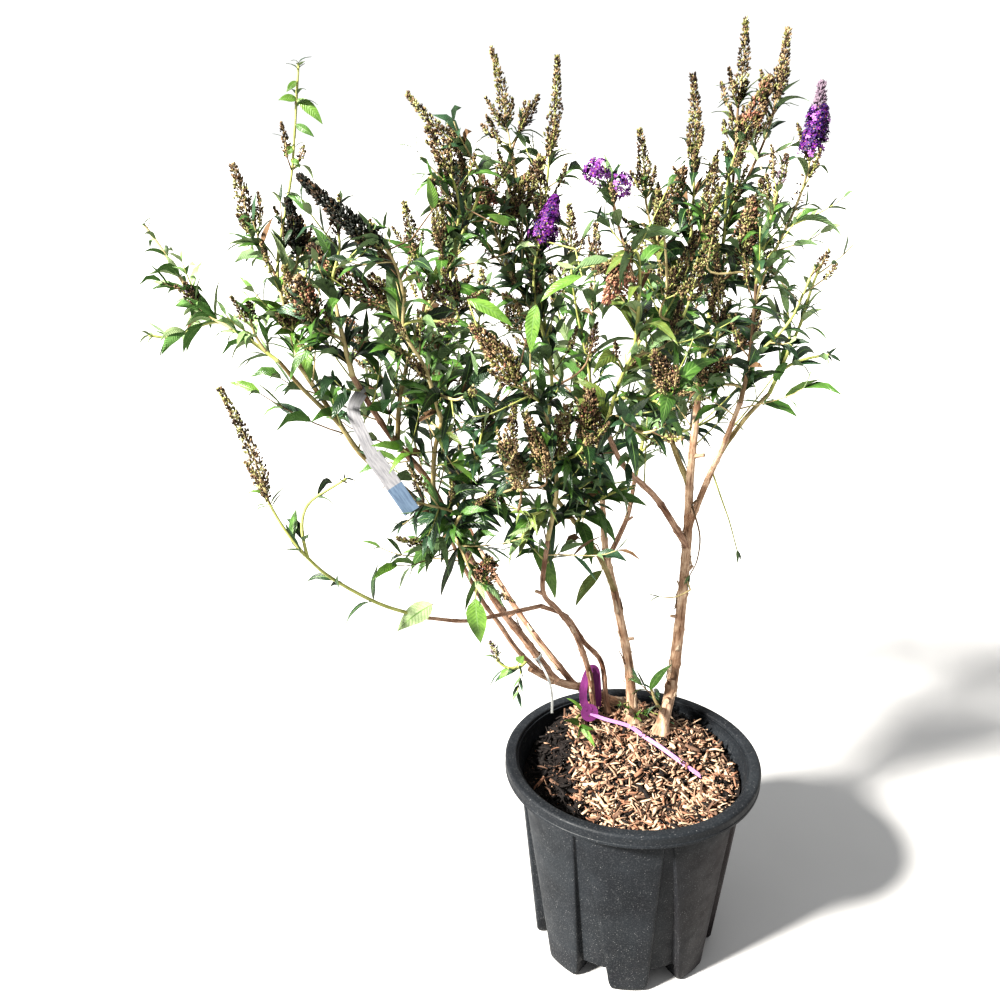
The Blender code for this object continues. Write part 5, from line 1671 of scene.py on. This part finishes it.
def grow_mass(thicket, name, region):
    """One mass: the part's shoots and leaves from its own seed, and finer growth from another."""
    rng = random.Random(name + " leaves")
    deal = random.Random(name + " fine")
    size = LEAF_SHARE.get(name, 1)
    plans = MASSES[name][3]
    seeding = len(plans) > 2 and name not in LEAFY_MASSES
    for shoot, plan in zip(make_shoots(name, region, deal), [None, *plans]):
        leafy = plan is not None and plan[3] == "leafy"
        growth = BARE_GROWTH if leafy and name in BARE_SHOOTS else GROWTH.get(name, 1)
        nodes = main_leaves(thicket.large, shoot, rng, deal, size)
        between_leaves(thicket, shoot, nodes, deal, size, growth, SEEDY.get(name, 0), seeding)
        first, last = shoot.radii
        steps = len(shoot.path) - 1
        thicket.add_twig(shoot.path, [first + (last - first) * k / steps for k in range(steps + 1)], 8)
        thicket.stations += shoot.path
        tip_leaves(thicket.small, shoot, deal, 6 if leafy else 2)
        if plan is not None:
            _, foot, tip, kind = plan
            grow_flowers(thicket, shoot, Vector(foot), Vector(tip), kind, OPEN_SHARE.get(name), deal)


def add_limb_twigs(thicket, region):
    """Leafy twigs on the upper parts of the boughs."""
    rng = random.Random(region + " limb twigs")
    for home, limb, low, high, count in LIMB_TWIGS:
        if home != region:
            continue
        path = [point for point in limb_paths[limb] if low <= point.z <= high]
        for k in range(count):
            point, ahead = at_station(path, (k + rng.random()) / count)
            side = turned(ahead, k * 2.4 + rng.uniform(-0.4, 0.4))
            grow_twig(thicket, point, ahead, side, pick(rng, SPRAY_TONES[region]), rng, 1.35)


def add_single_spikes(thicket, region):
    """The seed heads beside the part's own, each on a stalk from the nearest shoot below it."""
    rng = random.Random(region + " spikes")
    for home, foot, tip, kind in SINGLE_SPIKES:
        if home != region:
            continue
        foot, tip = Vector(foot), Vector(tip)
        near = min(thicket.stations,
                   key=lambda point: (point - foot).length + max(0, point.z - foot.z + 12) * 3)
        path = bend_to(near, (foot - near).normalized(), foot, (tip - foot).normalized(), 8)
        thicket.add_twig(path, [1.7 - 0.5 * i / 8 for i in range(9)], 6)
        grow_spike(thicket, foot, tip, kind, rng)


def add_single_leaves(thicket, region):
    """The leaves that stand out by themselves, each on a thin stalk from the nearest shoot or limb."""
    rng = random.Random(region + " single")
    for home, foot, tip, face, width, upper, lower in SINGLE_LEAVES:
        if home != region:
            continue
        foot, run = Vector(foot), Vector(tip) - Vector(foot)
        heading = run.normalized()
        crown = square_to(Vector(face), heading)
        thicket.large.add(foot, heading, crown, run.length, width, 0.35, upper, lower, rng)
        near = nearest(thicket.stations, foot)
        bend = foot.lerp(near, 0.5) - heading * (near - foot).length * 0.15
        thicket.add_twig([near, bend, foot, foot + heading * 1.5], [1.0, 0.9, 0.8, 0.5])


def add_low_growth(thicket):
    """The hanging twigs of the open part, and the sprouts low on the stems and out of the mix."""
    rng = random.Random("low growth")
    stations = [point for path in limb_paths.values() for point in path]
    for points in HANGING_TWIGS:
        path = smooth(points, 8)
        near = nearest(stations, path[0])
        path = [near, near.lerp(path[0], 0.5) + UP * 3, *path]
        thicket.add_twig(path, [1.3 - 0.6 * i / len(path) for i in range(len(path))], 6)
        tip, ahead = path[-1], (path[-1] - path[-2]).normalized()
        for sign in (1, -1):
            way = (ahead + ahead.orthogonal() * 0.3 * sign).normalized()
            small_leaf(thicket.small, tip, way, ahead, rng.uniform(14, 24), "blue", rng)
    for foot, heading, size in SPROUTS:
        foot, ahead = Vector(foot), Vector(heading).normalized()
        near = nearest(stations, foot)
        if foot.z > 280:
            thicket.add_twig([near, near.lerp(foot, 0.6), foot + ahead * 2], [1.0, 0.8, 0.5])
        for k in range(4):
            side = Matrix.Rotation(k * math.pi / 2 + rng.uniform(-0.3, 0.3), 3, ahead) @ ahead.orthogonal()
            way = (ahead + side.normalized() * rng.uniform(0.4, 1.1)).normalized()
            small_leaf(thicket.small, foot, way, ahead, size * rng.uniform(0.7, 1.1), "bright", rng)


def make_foliage():
    """Everything that the masses of the part stand for, one region of the crown at a time."""
    leaf_materials = leaf_looks()
    capsule_materials = [mottled("capsule_" + k, tones, 3, 0.8, 0.4, 0.8) for k, tones in CAPSULES.items()]
    petal_materials = [mottled("petal_" + k, tones, 4, 0.6, 0.3, 1.2, 0.4) for k, tones in PETALS.items()]
    twig_materials = [mottled("twig_" + k, *look) for k, look in TWIGS.items()]
    twigs = Gather()
    florets = Gather()
    for region, names in REGIONS.items():
        thicket = Thicket(florets)
        for name in names:
            grow_mass(thicket, name, region)
        thicket.stations += [point for path in limb_paths.values() for point in path]
        add_limb_twigs(thicket, region)
        add_single_spikes(thicket, region)
        add_single_leaves(thicket, region)
        if region == "middle":
            add_low_growth(thicket)
        nodes = ["foliage_" + name for name in names]
        thicket.large.made("leaves_" + region, leaf_materials, LEAF_ALONG, LEAF_ACROSS, nodes)
        thicket.small.made("young_leaves_" + region, leaf_materials, SMALL_ALONG, SMALL_ACROSS)
        spikes = Gather()
        thicket.capsules.gathered(spikes)
        spikes.make("seed_spikes_" + region, capsule_materials)
        rng = random.Random(region + " twigs")
        for path, radii, sides in thicket.twigs:
            verts, faces, places = tube(path, radii, sides)
            twigs.add(verts, faces, rng.choices((0, 1, 2), (5, 4, 2))[0], places)
    twigs.make("twigs", twig_materials)
    florets.make("open_flowers", petal_materials)


# Labels and tie

def strip(path, width, thick, flat):
    """A flat band along a path with soft edges, its broad side facing the flat direction."""
    marks = lengths(path)
    verts = []
    places = []
    section = ((-1, -0.4), (-0.97, -1), (0.97, -1), (1, -0.4), (1, 0.4), (0.97, 1), (-0.97, 1), (-1, 0.4))
    for point, mark, (tangent, _, _) in zip(path, marks, frames(path)):
        across = tangent.cross(flat).normalized()
        out = across.cross(tangent).normalized()
        for s, t in section:
            verts.append(point + across * s * width / 2 + out * t * thick / 2)
            places.append(((s + 1) / 2, mark))
    count = len(section)
    faces = grid_faces(len(path), count, True).tolist()
    last = (len(path) - 1) * count
    for k in range(1, count - 1):
        faces.append((0, k + 1, k))
        faces.append((last, last + k, last + k + 1))
    return np.array(verts), np.array(faces), np.array(places)


def add_strip(gather, path, width, thick, flat, tone=0):
    """A flat band of one colour along a path."""
    verts, faces, places = strip(path, width, thick, Vector(flat))
    gather.add(verts, faces, tone, places)


def add_hoop(gather, limb, height, width):
    """A band closed round a limb, and the point at its front."""
    path = limb_paths[limb]
    centre = at_height(path, height)
    for a, b in zip(path, path[1:]):
        if a.z <= height <= b.z:
            ahead = (b - a).normalized()
    inner = radius_at(limb, height) + CLEAR
    u = square_to(Vector((0, -1, 0)), ahead)
    v = ahead.cross(u)
    section = ((inner, -1), (inner + HOOP_THICK * 0.8, -1), (inner + HOOP_THICK, -0.8),
               (inner + HOOP_THICK, 0.8), (inner + HOOP_THICK * 0.8, 1), (inner, 1))
    verts = []
    for k in range(HOOP_SIDES):
        t = 2 * math.pi * k / HOOP_SIDES
        out = math.cos(t) * u + math.sin(t) * v
        verts += [centre + out * r + ahead * s * width / 2 for r, s in section]
    gather.add(verts, grid_faces(HOOP_SIDES + 1, len(section), True) % len(verts))
    return centre + u * (inner + 0.6)


def punched_disc(centre, normal, radius, thick, holes, hole_radius):
    """A round plate with small holes in it, cut by triangulating between the circles."""
    points = []
    edges = []
    for x, y, r, count in [(0, 0, radius, 40), *[(x, y, hole_radius, 12) for x, y in holes]]:
        edges += [(len(points) + i, len(points) + (i + 1) % count) for i in range(count)]
        for t in np.linspace(0, 2 * math.pi, count + 1)[:-1]:
            points.append(Vector((x + r * math.cos(t), y + r * math.sin(t))))
    flat, _, flat_faces, _, _, _ = delaunay_2d_cdt(points, edges, [], 0, 1e-4)
    kept = []
    for face in flat_faces:
        mid = sum((flat[i] for i in face), Vector((0, 0))) / len(face)
        if all((mid - Vector(h)).length > hole_radius * 0.99 for h in holes) and mid.length < radius:
            kept.append(tuple(face))
    n = normal.normalized()
    u = n.orthogonal().normalized()
    v = n.cross(u)
    count = len(flat)
    verts = [centre + u * p.x + v * p.y + n * thick / 2 for p in flat]
    verts += [centre + u * p.x + v * p.y - n * thick / 2 for p in flat]
    faces = kept + [tuple(i + count for i in reversed(f)) for f in kept]
    border = {(a, b): True for f in kept for a, b in zip(f, f[1:] + f[:1])}
    for a, b in border:
        if (b, a) not in border:
            faces += [(b, a, a + count), (b, a + count, b + count)]
    return np.array(verts), np.array(faces)


def make_loop_label():
    """The plant label: a punched round head, a loop round the thin stem and a tail on the mix."""
    purple = label_surface("label_purple", ((0.090, 0.015, 0.080), (0.140, 0.030, 0.122)), 0.42)
    pink = label_surface("label_pink", ((0.350, 0.160, 0.400), (0.440, 0.230, 0.480)), 0.45)
    gather = Gather()
    gather.add(*punched_disc(Vector(TAG_HEAD_AT), Vector((0.2, -1, 0.35)), TAG_HEAD_RADIUS, TAG_THICK,
                             TAG_HOLES, 1.25))
    add_strip(gather, smooth(TAG_LOOP, 8), TAG_WIDTH, TAG_THICK, (0, -1, 0.2))
    tail = []
    for i, (x, y) in enumerate(TAG_TAIL):
        tail.append(Vector((x, y, mix_height(x, y) + TAIL_LIFT + max(0, 2 - i) * 6)))
    add_strip(gather, smooth(tail, 8), TAIL_WIDTH, TAG_THICK, (0.1, -0.1, 1), 1)
    gather.make("loop_label", [purple, pink], ["plant_label"], 40)


def make_strap_label():
    """The hanging label: a band round the bough, a strap, and a plate whose lower half is slate blue."""
    white = label_surface("strap_white", ((0.105, 0.106, 0.115), (0.185, 0.183, 0.190)), 0.5)
    slate = label_surface("plate_slate", ((0.044, 0.066, 0.100), (0.074, 0.106, 0.150)), 0.4)
    gather = Gather()
    front = add_hoop(gather, "left_main_bough", STRAP_AT, 5)
    add_strip(gather, smooth([front, *STRAP], 10), STRAP_WIDTH, TAG_THICK, (0.1, -1, 0.1))
    verts, faces, places = strip(smooth(PLATE, 10), PLATE_WIDTH, TAG_THICK + 0.2, Vector((0.1, -1, 0.05)))
    reach = places[faces[:, 0], 1] / places[:, 1].max()
    gather.add(verts, faces, np.where(reach > 0.5, 1, 0), places)
    gather.make("strap_label", [white, slate], ["hanging_label"], 40)


def make_tie():
    """The cable tie round the bough, with its loose end."""
    gather = Gather()
    front = add_hoop(gather, "left_main_bough", TIE_AT, 3.5)
    add_strip(gather, smooth([front, *TIE_TAIL], 10), TIE_WIDTH, 1.2, (0.3, -1, 0))
    tie = label_surface("tie_white", ((0.260, 0.270, 0.260), (0.340, 0.350, 0.340)), 0.4)
    gather.make("twist_tie", [tie], ["cable_tie"], 40)


# Stage

def make_floor():
    bpy.ops.mesh.primitive_plane_add(size=60, location=(0, 0, 0))
    floor = bpy.context.object
    floor.name = "floor"
    pale = mottled("floor_pale", ((0.36, 0.36, 0.36), (0.38, 0.38, 0.38)), 400, 0.9, 0.1, 5)
    floor.data.materials.append(pale)


def make_light():
    """A white sky, and one broad, warm sun from the left, above and in front."""
    world = bpy.data.worlds.new("studio")
    bpy.context.scene.world = world
    world.use_nodes = True
    world.node_tree.nodes["Background"].inputs["Color"].default_value = (1.0, 1.0, 1.0, 1)
    world.node_tree.nodes["Background"].inputs["Strength"].default_value = SKY_STRENGTH
    sun = bpy.data.objects.new("sun", bpy.data.lights.new("sun", "SUN"))
    sun.data.energy = SUN_STRENGTH
    sun.data.angle = math.radians(SUN_SPREAD_DEG)
    sun.data.color = SUN_COLOUR
    sun.rotation_euler = Vector(SUN_FROM).to_track_quat("Z", "Y").to_euler()
    bpy.context.scene.collection.objects.link(sun)


def make_camera():
    camera = bpy.data.objects.new("camera", bpy.data.cameras.new("camera"))
    camera.data.lens = CAMERA_LENS
    camera.location = Vector(CAMERA_AT) * MM
    camera.rotation_euler = (math.radians(CAMERA_TILT_DEG), 0, 0)
    bpy.context.scene.collection.objects.link(camera)
    bpy.context.scene.camera = camera
    bpy.context.scene.view_settings.view_transform = "Standard"
    bpy.context.scene.view_settings.look = "Medium High Contrast"


def solids_tree(nodes):
    """A search tree of what growth keeps clear of: every solid but the foliage and the mix."""
    verts, faces = [], []
    for name, node in nodes.items():
        if not name.startswith(("foliage_", "potting_mix")):
            first = len(verts)
            verts += [v.co.copy() for v in node.data.vertices]
            faces += [tuple(first + i for i in f.vertices) for f in node.data.polygons]
    return BVHTree.FromPolygons(verts, faces)


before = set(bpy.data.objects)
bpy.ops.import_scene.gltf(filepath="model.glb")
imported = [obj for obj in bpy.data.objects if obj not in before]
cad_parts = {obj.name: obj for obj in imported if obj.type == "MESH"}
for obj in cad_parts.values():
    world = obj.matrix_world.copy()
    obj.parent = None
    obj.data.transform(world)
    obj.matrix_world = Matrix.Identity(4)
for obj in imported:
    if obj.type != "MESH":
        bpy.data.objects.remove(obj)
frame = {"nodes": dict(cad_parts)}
cad_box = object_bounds()
low_corner, high_corner = (Vector(c) / MM for c in cad_box)
limb_tree = solids_tree(frame["nodes"])

make_floor()
make_light()
make_camera()
grow_limbs()
make_pot()
make_mix()
make_chips()
make_stems()
make_peelings()
make_foliage()
make_loop_label()
make_strap_label()
make_tie()
